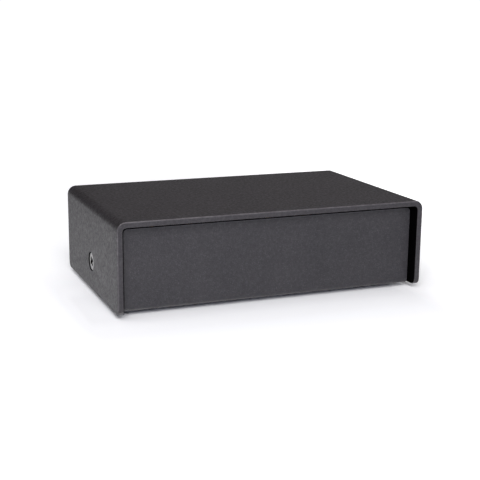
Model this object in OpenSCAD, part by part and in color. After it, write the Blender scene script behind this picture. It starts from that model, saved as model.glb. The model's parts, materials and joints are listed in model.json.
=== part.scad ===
// Phono preamp in a small two-piece metal case: a bent cover over a bent tray, with the
// connectors in the tray's rear flange and the circuit board on four standoffs.
// Millimetres. X runs to the right seen from the front, Y to the rear, Z up.
// The origin is on the surface it stands on, at the middle of its overall width and depth.

/* [Cover] */
// Width over the side walls
case_w = 107; // [104:0.5:140]
// Depth from the front edge to the rear edge
cover_d = 65.3; // [65:0.1:100]
// Height of the side walls, top included
cover_h = 29.5; // [25:0.5:45]
// Thickness of the aluminium sheet
cover_t = 2; // [1.5:0.1:2.5]
// Inner radius of the bend between top and side wall
cover_bend_r = 1; // [0.5:0.1:4]
// Radius of the lower corners of the side walls
cover_corner_r = 2; // [0.5:0.1:6]

/* [Chassis tray] */
// Thickness of the steel sheet
tray_t = 1.2; // [1:0.1:1.6]
// Inner radius of the bends
tray_bend_r = 0.3; // [0.2:0.1:2]
// Gap between the side tabs and the cover's inside
tray_gap = 0.3; // [0.2:0.05:0.8]
// Gap between the front and rear panels and the cover's inside
panel_gap = 1; // [0.4:0.05:1.4]
// Distance of the front panel behind the cover's front edge
front_recess = 3.2; // [1:0.1:6]
// Distance of the rear panel before the cover's rear edge
rear_recess = 3.2; // [1:0.1:6]
// Radius of the top corners of both panels
panel_corner_r = 1.2; // [0.5:0.1:4]
// Width of the side tabs that hold the cover
tab_w = 12; // [9:0.5:20]
// Height of the tabs over the middle of their hole
tab_over_hole = 5; // [4:0.5:8]
// Radius of the tabs' top corners
tab_corner_r = 2; // [0.5:0.1:4]

/* [Cover screws] */
// Diameter of the thread
screw_d = 2.95; // [2.5:0.05:3.2]
// Diameter of the countersunk head
screw_head_d = 6; // [5:0.05:6.2]
// Length, head included
screw_len = 6; // [5:0.5:7]
// Height of the screw over the lower edge of the side wall
screw_up = 9.6; // [8:0.1:12]
// Diameter of the countersink at the cover's surface
sink_d = 6.5; // [6.4:0.1:7.2]
// Diameter of the hole through the cover
cover_hole_d = 3.4; // [3.3:0.1:3.8]
// Width of a slot of the cross recess
recess_w = 0.75; // [0.5:0.05:1]
// Diameter of the cross recess at the head's face
recess_d = 3.1; // [2.4:0.1:3.6]
// Depth of the cross recess
recess_depth = 1.3; // [0.8:0.1:1.6]

/* [Press nuts] */
// Diameter of the press nut's head
press_nut_d = 6.2; // [5.6:0.1:7]
// Thickness of the press nut's head
press_nut_h = 1.6; // [1.2:0.1:2]
// Diameter of the neck in the tab
press_neck_d = 4.2; // [3.8:0.1:4.8]
// Radial play of a threaded or pressed fit
fit_play = 0.03; // [0.02:0.01:0.05]

/* [Feet] */
// Diameter
foot_d = 9; // [6:0.5:14]
// Height
foot_h = 1.5; // [1:0.1:4]
// Chamfer of the lower edge
foot_chamfer = 0.3; // [0.1:0.05:0.5]
// Distance of a foot's middle from the cover's side
foot_in_x = 14; // [12:0.5:20]
// Distance of a foot's middle from the cover's front or rear edge
foot_in_y = 13; // [11:0.5:18]

/* [Circuit board] */
// Gap to the press nuts in the tray's side tabs
board_nut_gap = 2.9; // [1:0.1:5]
// Thickness
board_t = 1.6; // [1:0.1:2]
// Gap to the front panel
board_front_gap = 2; // [1:0.1:6]
// Gap to the rear panel
board_rear_gap = 0.6; // [0.3:0.1:1.5]
// Radius of the corners
board_corner_r = 1.5; // [0.5:0.1:4]
// Height of the standoffs
standoff_h = 5; // [4.5:0.1:6]
// Width of the standoffs over their flats
standoff_w = 5.5; // [5:0.1:6.5]
// Diameter of the standoffs' shank in the tray
shank_d = 4.2; // [3.8:0.1:4.8]
// Diameter of the board screws' heads
pan_head_d = 5.6; // [5:0.1:6]
// Height of the board screws' heads
pan_head_h = 2.1; // [1.6:0.1:2.6]
// Length of the board screws under the head
board_screw_len = 5; // [4:0.5:6]
// Distance of the board screws from the side edges
board_screw_in_x = 4.5; // [4:0.5:6]
// Distance of the front pair from the board's front edge
board_screw_front = 4.5; // [4:0.5:8]
// Distance of the rear pair from the board's rear edge
board_screw_rear = 20; // [19:0.5:24]
// Length of the leads under the board
lead_out = 1.4; // [0.8:0.1:2]
// Play of the leads and tails in the board's holes
lead_play = 0.2; // [0.1:0.05:0.3]
// Diameter of the holes for the board screws
board_hole_d = 3.4; // [3.3:0.1:3.8]

/* [Phono jacks] */
// Gap between the input pair's block and the ground terminal's inner washer
ground_gap = 0.5; // [0.3:0.1:2]
// Distance between the two jacks of a pair
jack_pitch = 14; // [12.5:0.5:14.5]
// Height of the jacks' axes over the board
jack_up = 7.5; // [7:0.1:9]
// Thickness of the moulded block over the jacks' axes
jack_over = 5.8; // [5.5:0.1:6.5]
// Width of the block past the jacks' axes
jack_side = 5.5; // [5.3:0.1:6]
// Depth of the block
jack_block_d = 10; // [8:0.5:12]
// Diameter of the block's round bosses
boss_d = 10; // [9.6:0.1:10.4]
// Length of the bosses past the panel
boss_out = 0.5; // [0.2:0.1:1]
// Outer diameter of a shell
shell_d = 8.3; // [8.1:0.05:8.4]
// Length of a shell past its boss
shell_len = 8; // [7:0.1:9]
// Inner diameter of a shell
shell_bore_d = 6.7; // [6.5:0.05:6.8]
// Diameter of a shell's neck in the block
neck_d = 7.5; // [7.3:0.05:7.7]
// Distance of the insulator behind the shell's mouth
insulator_in = 0.6; // [0.3:0.1:1.2]
// Diameter of the insulator's mouth
mouth_d = 3.8; // [3.6:0.1:4]
// Distance of the centre contact behind the insulator's face
contact_in = 1; // [0.6:0.1:1.6]
// Outer diameter of the centre contact
contact_d = 4.2; // [4.1:0.05:4.5]
// Bore of the centre contact
contact_bore_d = 3.25; // [3.2:0.01:3.3]
// Width of the solder tails
tail_w = 2; // [1.4:0.1:2.4]
// Thickness of the solder tails
tail_t = 0.4; // [0.3:0.05:0.6]
// Distance between the tails of a shell and its centre contact
tail_gap = 0.8; // [0.6:0.1:1.2]
// Diameter of the block's peg in the board
peg_d = 1.8; // [1.2:0.1:2.4]
// Radial play between the pieces of a jack
jack_play = 0.05; // [0.03:0.01:0.08]
// Play around what passes through a panel
panel_play = 0.2; // [0.1:0.05:0.4]

/* [Power jack] */
// Distance of the body from the board's side edge
power_edge = 0.5; // [0.2:0.1:2]
// Width kept free for the grip of the plug
plug_grip_w = 9.5; // [9:0.1:11]
// Width of the body
power_w = 9; // [8.8:0.1:10]
// Depth of the body
power_d = 13.5; // [12:0.5:15]
// Height of the axis over the board
power_up = 6.5; // [6:0.1:7.5]
// Thickness of the body over the axis
power_over = 4.4; // [4.2:0.1:5]
// Diameter of the round nose
nose_d = 8.4; // [8.2:0.1:8.6]
// Length of the nose past the panel
nose_out = 0.4; // [0.2:0.1:1]
// Diameter of the socket
socket_d = 6.4; // [6:0.1:6.6]
// Depth of the socket
socket_deep = 10; // [9:0.5:11]
// Diameter of the centre pin
power_pin_d = 2.1; // [2:0.05:2.5]
// Length of the centre pin in the socket
power_pin_len = 8.5; // [7:0.5:9]
// Diameter of the centre pin's neck in the body
power_neck_d = 1.6; // [1.2:0.1:1.8]
// Width of the leaf spring
leaf_w = 2.2; // [1.8:0.1:2.4]
// Thickness of the leaf spring
leaf_t = 0.3; // [0.2:0.05:0.4]
// Length of the leaf spring
leaf_len = 6; // [5:0.5:8]
// Distance of the leaf spring from the socket's axis
leaf_off = 2.3; // [2.2:0.05:2.4]
// Distance of the leaf spring from the socket's bottom
leaf_in = 0.6; // [0.4:0.1:1.5]

/* [Ground terminal] */
// Distance of the post from the cover's side
ground_in = 10; // [8:0.5:12]
// Diameter of the post over its thread
post_d = 3.9; // [3.8:0.02:4]
// Pitch of its thread
post_pitch = 0.7; // [0.5:0.05:0.8]
// Turns that the thumb nut backs off
nut_turns = 3; // [1:1:5]
// Radial play between post and thumb nut
nut_play = 0.05; // [0.02:0.01:0.08]
// Diameter of the post's collar
collar_d = 8; // [7:0.1:9]
// Thickness of the collar
collar_t = 1.5; // [1:0.1:2]
// Diameter of the bushing's flange and the inner washer
bushing_d = 9; // [8:0.1:9.6]
// Thickness of the bushing's flange
bushing_t = 1.2; // [0.8:0.1:2]
// Diameter of the bushing's sleeve in the panel
sleeve_d = 6; // [5.4:0.1:6.6]
// Diameter of the loose washer
washer_d = 8; // [7:0.1:9]
// Bore of the loose washer
washer_bore_d = 4.3; // [4.2:0.05:4.5]
// Thickness of the loose washer
washer_t = 0.8; // [0.5:0.1:1]
// Gap between the collar and the loose washer
washer_gap = 0.3; // [0.3:0.05:0.5]
// Gap between the loose washer and the thumb nut
nut_gap = 0.2; // [0.15:0.05:0.3]
// Diameter of the thumb nut
nut_d = 9; // [8:0.1:10]
// Length of the thumb nut
nut_len = 5.5; // [4:0.5:7]
// Number of grooves of its grip
nut_grooves = 24; // [16:1:32]
// Depth of the grooves
groove_depth = 0.35; // [0.2:0.05:0.5]
// Chamfer of the thumb nut and the post
nut_chamfer = 0.5; // [0.3:0.05:0.7]
// Length of the post past the thumb nut when it is backed off
post_spare = 0.9; // [0.7:0.1:2]
// Thickness of the inner washer
inner_washer_t = 1; // [0.6:0.1:1.5]
// Thickness of the solder lug
lug_t = 0.5; // [0.3:0.05:0.8]
// Diameter of the solder lug's ring
lug_d = 7.5; // [7:0.1:8.5]
// Width of the solder lug's tongue
lug_w = 3; // [2.4:0.1:4]
// Length of the tongue over the post's axis
lug_len = 9; // [8.5:0.1:9.8]
// Width of the lock nut over its flats
lock_nut_w = 7; // [6.5:0.1:7.5]
// Thickness of the lock nut
lock_nut_t = 3; // [2:0.1:3.2]
// Length of the post past the lock nut
post_in = 1; // [0.5:0.1:1.5]
// Diameter of the ground wire
wire_d = 1.4; // [1:0.1:1.8]
// Radius of the ground wire's bend
wire_bend_r = 4.5; // [3:0.5:5]

/* [Gain switch] */
// Travel of the slider
slider_travel = 4; // [2:0.1:4]
// Width of the slider's knob
knob_w = 3.5; // [2.5:0.1:3.6]
// Height of the slider's knob
knob_h = 3; // [2:0.1:3.2]
// Length of the knob past the rear panel
knob_out = 3; // [2:0.1:4]
// Width of the slider's carriage
carriage_w = 6; // [5:0.1:6.2]
// Depth of the slider's carriage
carriage_d = 4; // [3:0.1:4.6]
// Height of the slider's carriage over and under its knob
carriage_edge = 0.2; // [0:0.05:0.4]
// Clearance around the slider
slider_play = 0.35; // [0.3:0.05:0.4]
// Thickness of the switch's steel frame
frame_t = 0.4; // [0.3:0.05:0.5]
// Thickness of the switch's base
switch_base_t = 1.5; // [1:0.1:2]
// Thickness of the moving contact
wiper_t = 0.3; // [0.2:0.05:0.4]
// Diameter of the switch's terminals
terminal_d = 0.9; // [0.6:0.05:1]
// Distance between the terminals
terminal_pitch = 4; // [3:0.1:4.2]

/* [Parts on the board] */
// Film capacitor, width
film_w = 7.2; // [6:0.1:8]
// Film capacitor, depth
film_d = 4.5; // [3.5:0.1:6]
// Film capacitor, height
film_h = 9.5; // [6:0.1:11]
// Film capacitor, distance between its leads
film_pitch = 5; // [4:0.5:5]
// Diameter of its leads
film_lead_d = 0.6; // [0.5:0.05:0.8]
// Output capacitor, diameter of the can
coupling_d = 8; // [6.3:0.1:9]
// Output capacitor, height
coupling_h = 10; // [7:0.5:13]
// Supply capacitor, diameter of the can
reservoir_d = 10; // [8:0.1:10.5]
// Supply capacitor, height
reservoir_h = 12; // [8:0.5:14]
// Thickness of a can's square base
can_base_t = 1.2; // [0.8:0.1:2]
// Height of a can's rolled groove and of the band under it
can_band = 1; // [0.6:0.1:1.4]
// Depth of a can's rolled groove and chamfer
can_groove = 0.3; // [0.1:0.05:0.5]
// Amplifier chip, width between the rows of legs
chip_w = 3.9; // [3.5:0.1:5]
// Amplifier chip, length
chip_len = 4.9; // [4.8:0.1:6]
// Amplifier chip, height
chip_h = 1.7; // [1.4:0.1:2.2]
// Distance between a chip's legs
leg_pitch = 1.27; // [1:0.01:1.27]
// Width of a chip's leg
leg_w = 0.45; // [0.3:0.05:0.5]
// Thickness of a chip's leg
leg_t = 0.2; // [0.15:0.01:0.3]
// Length of a chip's leg past the body
leg_reach = 1.1; // [0.8:0.1:1.6]
// Height of a chip's body over the board
chip_up = 0.15; // [0.05:0.05:0.3]
// Inductor, width and depth
coil_w = 7; // [6:0.1:8]
// Inductor, height
coil_h = 4; // [3:0.1:6]
// Inductor, radius of its corners
coil_corner_r = 1; // [0.4:0.1:2]
// Voltage regulator, width
regulator_w = 6.5; // [6:0.1:7]
// Voltage regulator, depth of its body
regulator_d = 6; // [5.5:0.1:6.5]
// Voltage regulator, height
regulator_h = 2.3; // [2:0.1:3]
// Voltage regulator, thickness of its legs and tab
regulator_leg_t = 0.5; // [0.4:0.05:0.8]
// Voltage regulator, length of its legs
regulator_leg = 2.5; // [1.5:0.1:3]
// Voltage regulator, length of its tab past the body
regulator_tab = 1; // [0.5:0.1:1.5]
// Diode, length
diode_len = 4.4; // [4:0.1:5]
// Diode, width
diode_w = 2.6; // [2:0.1:3]
// Diode, height
diode_h = 2.2; // [1.6:0.1:2.6]
// Resistor, length
resistor_len = 3.2; // [2:0.1:3.4]
// Resistor, width
resistor_w = 1.6; // [1.2:0.1:2]
// Resistor, height
resistor_h = 0.6; // [0.4:0.05:0.8]
// Gap between the connectors and the left channel's row
left_row_gap = 1.55; // [1:0.05:4]
// Gap between the left and the right channel's row
right_row_gap = 2.7; // [1:0.1:5]
// Voltage regulator, distance of its middle to the left of the inductor's
regulator_left = 0.5; // [0:0.1:1]
// Diode, distance of its middle to the right of the inductor's
diode_right = 1.5; // [0:0.1:3]
// Gap between the voltage regulator's legs and the diode
diode_gap = 4.2; // [1:0.1:6]

/* [Hidden] */
$fn = 64;
SIDES = ["left", "right"];
FEET = [["foot_front_left", -1, -1], ["foot_front_right", 1, -1],
        ["foot_rear_left", -1, 1], ["foot_rear_right", 1, 1]];

// Colours
coat = [0.20, 0.20, 0.21];
steel = [0.72, 0.73, 0.75];
nickel = [0.80, 0.78, 0.73];
brass = [0.78, 0.62, 0.30];
black = [0.06, 0.06, 0.06];
white = [0.90, 0.90, 0.88];
red = [0.70, 0.05, 0.04];
green = [0.05, 0.22, 0.12];
grey = [0.35, 0.36, 0.38];

// Along Y: the posts and jacks behind the case count in the overall depth
nut_travel = nut_turns * post_pitch;
nut_from = bushing_t + collar_t + washer_gap + washer_t + nut_gap;
post_out = nut_from + nut_len + nut_travel + post_spare;
rear_out = max(rear_recess, post_out, boss_out + shell_len, nose_out, knob_out);
front_y = -(cover_d - rear_recess + rear_out) / 2;
rear_y = front_y + cover_d;
mid_y = front_y + cover_d / 2;
front_panel_y = front_y + front_recess;
panel_y = rear_y - rear_recess;
panel_in_y = panel_y - tray_t;
board_front_y = front_panel_y + tray_t + board_front_gap;
board_rear_y = panel_in_y - board_rear_gap;
board_d = board_rear_y - board_front_y;

// Along X and Z
tray_w = case_w - 2 * (cover_t + tray_gap);
panel_w = case_w - 2 * (cover_t + panel_gap);
tray_d = cover_d - front_recess - rear_recess;
tray_h = cover_h - cover_t - panel_gap;
board_w = tray_w - 2 * (tray_t + press_nut_h + board_nut_gap);
tray_top = foot_h + tray_t;
board_z = tray_top + standoff_h;
board_top = board_z + board_t;
lead_z = board_z - lead_out;
screw_z = foot_h + screw_up;
jack_z = board_top + jack_up;
power_z = board_top + power_up;

// Fits and small steps
screw_head_h = (screw_head_d - screw_d) / 2;
sink_depth = (sink_d - cover_hole_d) / 2;
head_sunk = (sink_d - screw_head_d) / 2;
cut = 1;
bond = 0.5;
tip_chamfer = 0.4;

// Phono jacks, along Y from the shell's mouth to the tails before the block
shell_mouth_y = panel_y + boss_out + shell_len;
shell_seat_y = panel_y + boss_out;
block_front_y = panel_in_y - jack_block_d;
shell_tail_y = block_front_y - tail_t;
insulator_face_y = shell_mouth_y - insulator_in;
insulator_end_y = shell_tail_y - tail_gap;
contact_face_y = insulator_face_y - contact_in;
contact_end_y = insulator_end_y - tail_t;

// Power jack
nose_y = panel_y + nose_out;
socket_end_y = nose_y - socket_deep;
power_front_y = panel_in_y - power_d;
leaf_z = power_z - leaf_off - leaf_t;
leaf_y = socket_end_y + leaf_in;

// Gain switch
carriage_h = knob_h + 2 * carriage_edge;
cavity_w = carriage_w + slider_travel + 2 * slider_play;
cavity_d = carriage_d + 2 * slider_play;
wiper_z = board_top + switch_base_t + slider_play;
carriage_z = wiper_z + wiper_t;
frame_h = carriage_z + carriage_h + slider_play + frame_t - board_top;
frame_w = cavity_w + 2 * frame_t;
frame_d = cavity_d + 2 * frame_t;
frame_y = panel_in_y - frame_d;
switch_y = frame_y + frame_d / 2;
knob_slot_w = knob_w + slider_travel + 2 * slider_play;
knob_z = carriage_z + carriage_edge;

// Across the rear panel: ground terminal, input pair, gain switch, output pair, power jack
pair_w = jack_pitch + 2 * jack_side;
ground_x = case_w / 2 - ground_in;
input_x = ground_x - bushing_d / 2 - ground_gap - pair_w / 2;
power_x = power_edge + (power_w - board_w) / 2;
between_jacks = spread(power_x + plug_grip_w / 2, input_x - pair_w / 2, [pair_w, frame_w], [1, 1, 1]);
output_x = between_jacks[0];
switch_x = between_jacks[1];
slider_x = switch_x - slider_travel / 2;
terminal_x = [for (i = [-1 : 1]) switch_x + i * terminal_pitch];

// Across the board: the two channels' parts, between the board screws on either side. The list
// row_gaps holds the gaps before, between and after them in mm; a wider board spreads them alike.
coupling_w = coupling_d + can_groove;
reservoir_w = reservoir_d + can_groove;
row_x = board_w / 2 - board_screw_in_x - pan_head_d / 2;
row_w = [coil_w, reservoir_w, coupling_w, resistor_w, resistor_w, chip_w + 2 * leg_reach, film_w, film_w];
row_gaps = [0.2, 1.85, 3.7, 4.55, 2.4, 2.65, 4.35, 2.3, 5.1];
part_x = spread(-row_x, row_x, row_w, row_gaps);
coil_x = part_x[0];
reservoir_x = part_x[1];
coupling_x = part_x[2];
resistor_x = [part_x[4], part_x[3]];
chip_x = part_x[5];
film_x = [part_x[7], part_x[6]];

// Along the board, as distances from its rear edge
connectors_d = board_rear_y - min(contact_end_y, power_front_y - tail_t);
left_row = connectors_d + left_row_gap + reservoir_w / 2;
right_row = left_row + reservoir_w + right_row_gap;
coil_at = [coil_x, left_row];
regulator_at = [coil_x - regulator_left, right_row];
diode_at = [coil_x + diode_right, right_row + regulator_d / 2 + regulator_leg + diode_gap + diode_w / 2];

// Sum of the first n values of a list
function sum(values, n) = n == 0 ? 0 : values[n - 1] + sum(values, n - 1);

// Middles of things that lie side by side from x0 to x1; the room that they leave goes to the gaps
// before, between and after them, in the proportions of the list gaps
function spread(x0, x1, widths, gaps) =
    let (room = x1 - x0 - sum(widths, len(widths)), scale = room / sum(gaps, len(gaps)))
    [for (i = [0 : len(widths) - 1]) x0 + sum(widths, i) + widths[i] / 2 + scale * sum(gaps, i + 1)];

function row(side) = side == "left" ? left_row : right_row;
function side_sign(side) = side == "left" ? -1 : 1;
function board_y(from_rear) = board_rear_y - from_rear;
function jack_x(pair_x, side) = pair_x + side_sign(side) * jack_pitch / 2;
function shade(side) = side == "left" ? white : red;

// Helpers

// Repeats its children on both sides of the case
module both_sides() {
    children();
    mirror([1, 0, 0]) children();
}

// A cylinder along +Y from y0 to y1
module bar_y(x, y0, y1, z, d) {
    translate([x, y1, z]) rotate([90, 0, 0]) cylinder(h = y1 - y0, d = d);
}

// A cylinder along +X from x0 to x1
module bar_x(x0, x1, y, z, d) {
    translate([x0, y, z]) rotate([0, 90, 0]) cylinder(h = x1 - x0, d = d);
}

// A block centred on x, from y0 to y1 and from z0 to z1
module block(x, w, y0, y1, z0, z1) {
    translate([x - w / 2, y0, z0]) cube([w, y1 - y0, z1 - z0]);
}

// An outline w wide and h high on the X axis, with its two upper corners rounded
module arch(w, h, r) {
    translate([-w / 2, 0]) square([w, h - r]);
    translate([-w / 2 + r, 0]) square([w - 2 * r, h]);
    for (s = [-1, 1]) translate([s * (w / 2 - r), h - r]) circle(r);
}

// A rounded rectangle centred on the origin
module rounded(w, d, r) {
    square([w - 2 * r, d], center = true);
    square([w, d - 2 * r], center = true);
    for (sx = [-1, 1], sy = [-1, 1])
        translate([sx * (w / 2 - r), sy * (d / 2 - r)]) circle(r);
}

// The section of a sheet bent twice into a channel that opens upwards
module channel(w, h, t, r) {
    difference() {
        translate([0, h]) mirror([0, 1]) arch(w, h, r + t);
        translate([0, h + cut]) mirror([0, 1]) arch(w - 2 * t, h - t + cut, r);
    }
}

// Extrudes an outline drawn in X and Z along Y, from y0 to y1
module along_y(y0, y1) {
    translate([0, y1, 0]) rotate([90, 0, 0]) linear_extrude(y1 - y0) children();
}

// Extrudes an outline drawn in Y and Z along X, over a width w
module along_x(w) {
    translate([-w / 2, 0, 0]) rotate([90, 0, 90]) linear_extrude(w) children();
}

// The cross recess of a screw head, narrowing downwards from z = 0
module cross_recess() {
    height = recess_depth + cut;
    top_d = recess_w + (recess_d - recess_w) * height / recess_depth;
    translate([0, 0, -recess_depth]) intersection() {
        cylinder(h = height, d1 = recess_w, d2 = top_d);
        union() {
            translate([-top_d, -recess_w / 2, 0]) cube([2 * top_d, recess_w, height]);
            translate([-recess_w / 2, -top_d, 0]) cube([recess_w, 2 * top_d, height]);
        }
    }
}

// A threaded shank from z = 0 down, with a chamfered tip
module shank(d, len) {
    translate([0, 0, tip_chamfer - len]) cylinder(h = len - tip_chamfer, d = d);
    translate([0, 0, -len]) cylinder(h = tip_chamfer, d1 = d - 2 * tip_chamfer, d2 = d);
}

// A solder tail: a flat strip from the height of a jack's axis down through the board
module tail(x, y, z_top) {
    block(x, tail_w, y, y + tail_t, lead_z, z_top);
}

// The hole that a solder tail needs in the board
module tail_hole(x, y) {
    block(x, tail_w + 2 * lead_play, y - lead_play, y + tail_t + lead_play, board_z - cut, board_top + cut);
}

// A round hole through the board
module lead_hole(x, y, d) {
    translate([x, y, board_z - cut]) cylinder(h = board_t + 2 * cut, d = d);
}

// Case

module top_cover() {
    color(coat) difference() {
        intersection() {
            translate([0, 0, foot_h + cover_h]) mirror([0, 0, 1])
                along_y(front_y, rear_y) channel(case_w, cover_h, cover_t, cover_bend_r);
            translate([0, mid_y, foot_h + cover_h]) mirror([0, 0, 1])
                along_x(case_w + 2 * cut) arch(cover_d, cover_h, cover_corner_r);
        }
        both_sides() {
            bar_x(case_w / 2 - cover_t - cut, case_w / 2 + cut, mid_y, screw_z, cover_hole_d);
            translate([case_w / 2 - sink_depth, mid_y, screw_z]) rotate([0, 90, 0])
                cylinder(h = sink_depth + cut, d1 = cover_hole_d, d2 = sink_d + 2 * cut);
        }
    }
}

module chassis_tray() {
    color(coat) difference() {
        union() {
            intersection() {
                translate([0, front_panel_y + tray_d / 2, foot_h])
                    along_x(panel_w) channel(tray_d, tray_h, tray_t, tray_bend_r);
                translate([0, 0, foot_h])
                    along_y(front_y, rear_y) arch(panel_w, tray_h, panel_corner_r);
            }
            intersection() {
                translate([0, 0, foot_h]) along_y(mid_y - tab_w / 2, mid_y + tab_w / 2)
                    channel(tray_w, screw_up + tab_over_hole, tray_t, tray_bend_r);
                translate([0, mid_y, foot_h])
                    along_x(tray_w) arch(tab_w, screw_up + tab_over_hole, tab_corner_r);
            }
        }
        both_sides() bar_x(tray_w / 2 - tray_t - cut, tray_w / 2 + cut, mid_y, screw_z,
                           press_neck_d + 2 * fit_play);
        for (x = [input_x, output_x], side = SIDES)
            bar_y(jack_x(x, side), panel_in_y - cut, panel_y + cut, jack_z, boss_d + 2 * panel_play);
        bar_y(power_x, panel_in_y - cut, panel_y + cut, power_z, nose_d + 2 * panel_play);
        bar_y(ground_x, panel_in_y - cut, panel_y + cut, jack_z, sleeve_d + 2 * fit_play);
        block(switch_x, knob_slot_w, panel_in_y - cut, panel_y + cut,
              knob_z - slider_play, knob_z + knob_h + slider_play);
        board_fixings() translate([0, 0, foot_h - cut])
            cylinder(h = tray_t + 2 * cut, d = shank_d + 2 * fit_play);
    }
}

module cover_screws() {
    color(steel) both_sides()
        translate([case_w / 2 - head_sunk, mid_y, screw_z]) rotate([0, 90, 0]) difference() {
            union() {
                translate([0, 0, -screw_head_h])
                    cylinder(h = screw_head_h, d1 = screw_d, d2 = screw_head_d);
                shank(screw_d, screw_len);
            }
            cross_recess();
        }
}

module press_nuts() {
    tab_in = tray_w / 2 - tray_t;
    color(steel) both_sides() difference() {
        union() {
            bar_x(tab_in - press_nut_h, tab_in, mid_y, screw_z, press_nut_d);
            bar_x(tab_in - bond, tray_w / 2, mid_y, screw_z, press_neck_d);
        }
        bar_x(tab_in - press_nut_h - cut, tray_w / 2 + cut, mid_y, screw_z, screw_d + 2 * fit_play);
    }
}

module foot(sx, sy) {
    x = sx * (case_w / 2 - foot_in_x);
    y = mid_y + sy * (cover_d / 2 - foot_in_y);
    color(black) translate([x, y, 0]) {
        cylinder(h = foot_chamfer, d1 = foot_d - 2 * foot_chamfer, d2 = foot_d);
        translate([0, 0, foot_chamfer]) cylinder(h = foot_h - foot_chamfer, d = foot_d);
    }
}

// Circuit board and what holds it

// Repeats its children at the four board fixings
module board_fixings() {
    for (s = [-1, 1], y = [board_front_y + board_screw_front, board_y(board_screw_rear)])
        translate([s * (board_w / 2 - board_screw_in_x), y, 0]) children();
}

module board_standoffs() {
    color(steel) board_fixings() difference() {
        union() {
            translate([0, 0, tray_top]) cylinder(h = standoff_h, d = standoff_w / cos(30), $fn = 6);
            translate([0, 0, foot_h]) cylinder(h = tray_t + bond, d = shank_d);
        }
        translate([0, 0, foot_h + tray_t / 2])
            cylinder(h = tray_t + standoff_h, d = screw_d + 2 * fit_play);
    }
}

module board_screws() {
    color(steel) board_fixings() translate([0, 0, board_top]) difference() {
        union() {
            cylinder(h = pan_head_h - tip_chamfer, d = pan_head_d);
            translate([0, 0, pan_head_h - tip_chamfer])
                cylinder(h = tip_chamfer, d1 = pan_head_d, d2 = pan_head_d - 2 * tip_chamfer);
            translate([0, 0, bond]) shank(screw_d, board_screw_len + bond);
        }
        translate([0, 0, pan_head_h]) cross_recess();
    }
}

module circuit_board() {
    color(green) difference() {
        translate([0, board_front_y + board_d / 2, board_z])
            linear_extrude(board_t) rounded(board_w, board_d, board_corner_r);
        board_fixings() lead_hole(0, 0, board_hole_d);
        for (x = [input_x, output_x], side = SIDES) {
            tail_hole(jack_x(x, side), shell_tail_y);
            tail_hole(jack_x(x, side), contact_end_y);
        }
        for (x = [input_x, output_x]) lead_hole(x, panel_in_y - jack_block_d / 2, peg_d + 2 * lead_play);
        tail_hole(power_x, power_front_y - tail_t);
        tail_hole(power_x, leaf_y);
        for (side = SIDES, i = [0, 1], s = [-1, 1])
            lead_hole(film_x[i] + s * film_pitch / 2, board_y(row(side)), film_lead_d + 2 * lead_play);
        for (x = terminal_x) lead_hole(x, switch_y, terminal_d + 2 * lead_play);
    }
}

// Phono jacks: a moulded block with two shells, two insulators and two centre contacts

module jack_block(x) {
    color(black) difference() {
        union() {
            block(x, pair_w, block_front_y, panel_in_y, board_top, jack_z + jack_over);
            for (side = SIDES) bar_y(jack_x(x, side), panel_in_y - bond, shell_seat_y, jack_z, boss_d);
            translate([x, panel_in_y - jack_block_d / 2, board_z]) cylinder(h = board_t + bond, d = peg_d);
        }
        for (side = SIDES)
            bar_y(jack_x(x, side), block_front_y - cut, shell_seat_y + cut, jack_z, neck_d + 2 * jack_play);
    }
}

module jack_shell(x) {
    color(nickel) difference() {
        union() {
            bar_y(x, shell_seat_y, shell_mouth_y, jack_z, shell_d);
            bar_y(x, shell_tail_y, shell_seat_y + bond, jack_z, neck_d);
            tail(x, shell_tail_y, jack_z - shell_bore_d / 2 - bond / 2);
        }
        bar_y(x, shell_tail_y - cut, shell_mouth_y + cut, jack_z, shell_bore_d);
    }
}

module jack_insulator(x, shade) {
    color(shade) difference() {
        bar_y(x, insulator_end_y, insulator_face_y, jack_z, shell_bore_d - 2 * jack_play);
        bar_y(x, contact_face_y - cut, insulator_face_y + cut, jack_z, mouth_d);
        bar_y(x, insulator_end_y - cut, contact_face_y, jack_z, contact_d + 2 * jack_play);
    }
}

module jack_contact(x) {
    color(brass) difference() {
        union() {
            bar_y(x, contact_end_y, contact_face_y, jack_z, contact_d);
            tail(x, contact_end_y, jack_z - contact_bore_d / 2);
        }
        bar_y(x, contact_end_y - cut, contact_face_y + cut, jack_z, contact_bore_d);
    }
}

// Power jack

module power_jack_body() {
    color(black) difference() {
        union() {
            block(power_x, power_w, power_front_y, panel_in_y, board_top, power_z + power_over);
            bar_y(power_x, panel_in_y - bond, nose_y, power_z, nose_d);
        }
        bar_y(power_x, socket_end_y, nose_y + cut, power_z, socket_d);
        bar_y(power_x, power_front_y - cut, socket_end_y + cut, power_z, power_neck_d + 2 * jack_play);
        block(power_x, leaf_w + 2 * lead_play, leaf_y - lead_play, leaf_y + tail_t + lead_play,
              board_top - cut, power_z - leaf_off);
    }
}

module power_jack_pin() {
    pin_y = socket_end_y + power_pin_len;
    color(steel) {
        bar_y(power_x, power_front_y - tail_t, socket_end_y + bond, power_z, power_neck_d);
        bar_y(power_x, socket_end_y, pin_y - tip_chamfer, power_z, power_pin_d);
        translate([power_x, pin_y, power_z]) rotate([90, 0, 0])
            cylinder(h = tip_chamfer, d1 = power_pin_d - 2 * tip_chamfer, d2 = power_pin_d);
        tail(power_x, power_front_y - tail_t, power_z);
    }
}

module power_jack_spring() {
    color(brass) {
        block(power_x, leaf_w, leaf_y, leaf_y + leaf_len, leaf_z, leaf_z + leaf_t);
        block(power_x, tail_w, leaf_y, leaf_y + tail_t, lead_z, leaf_z + leaf_t);
    }
}

// Ground terminal

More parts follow.
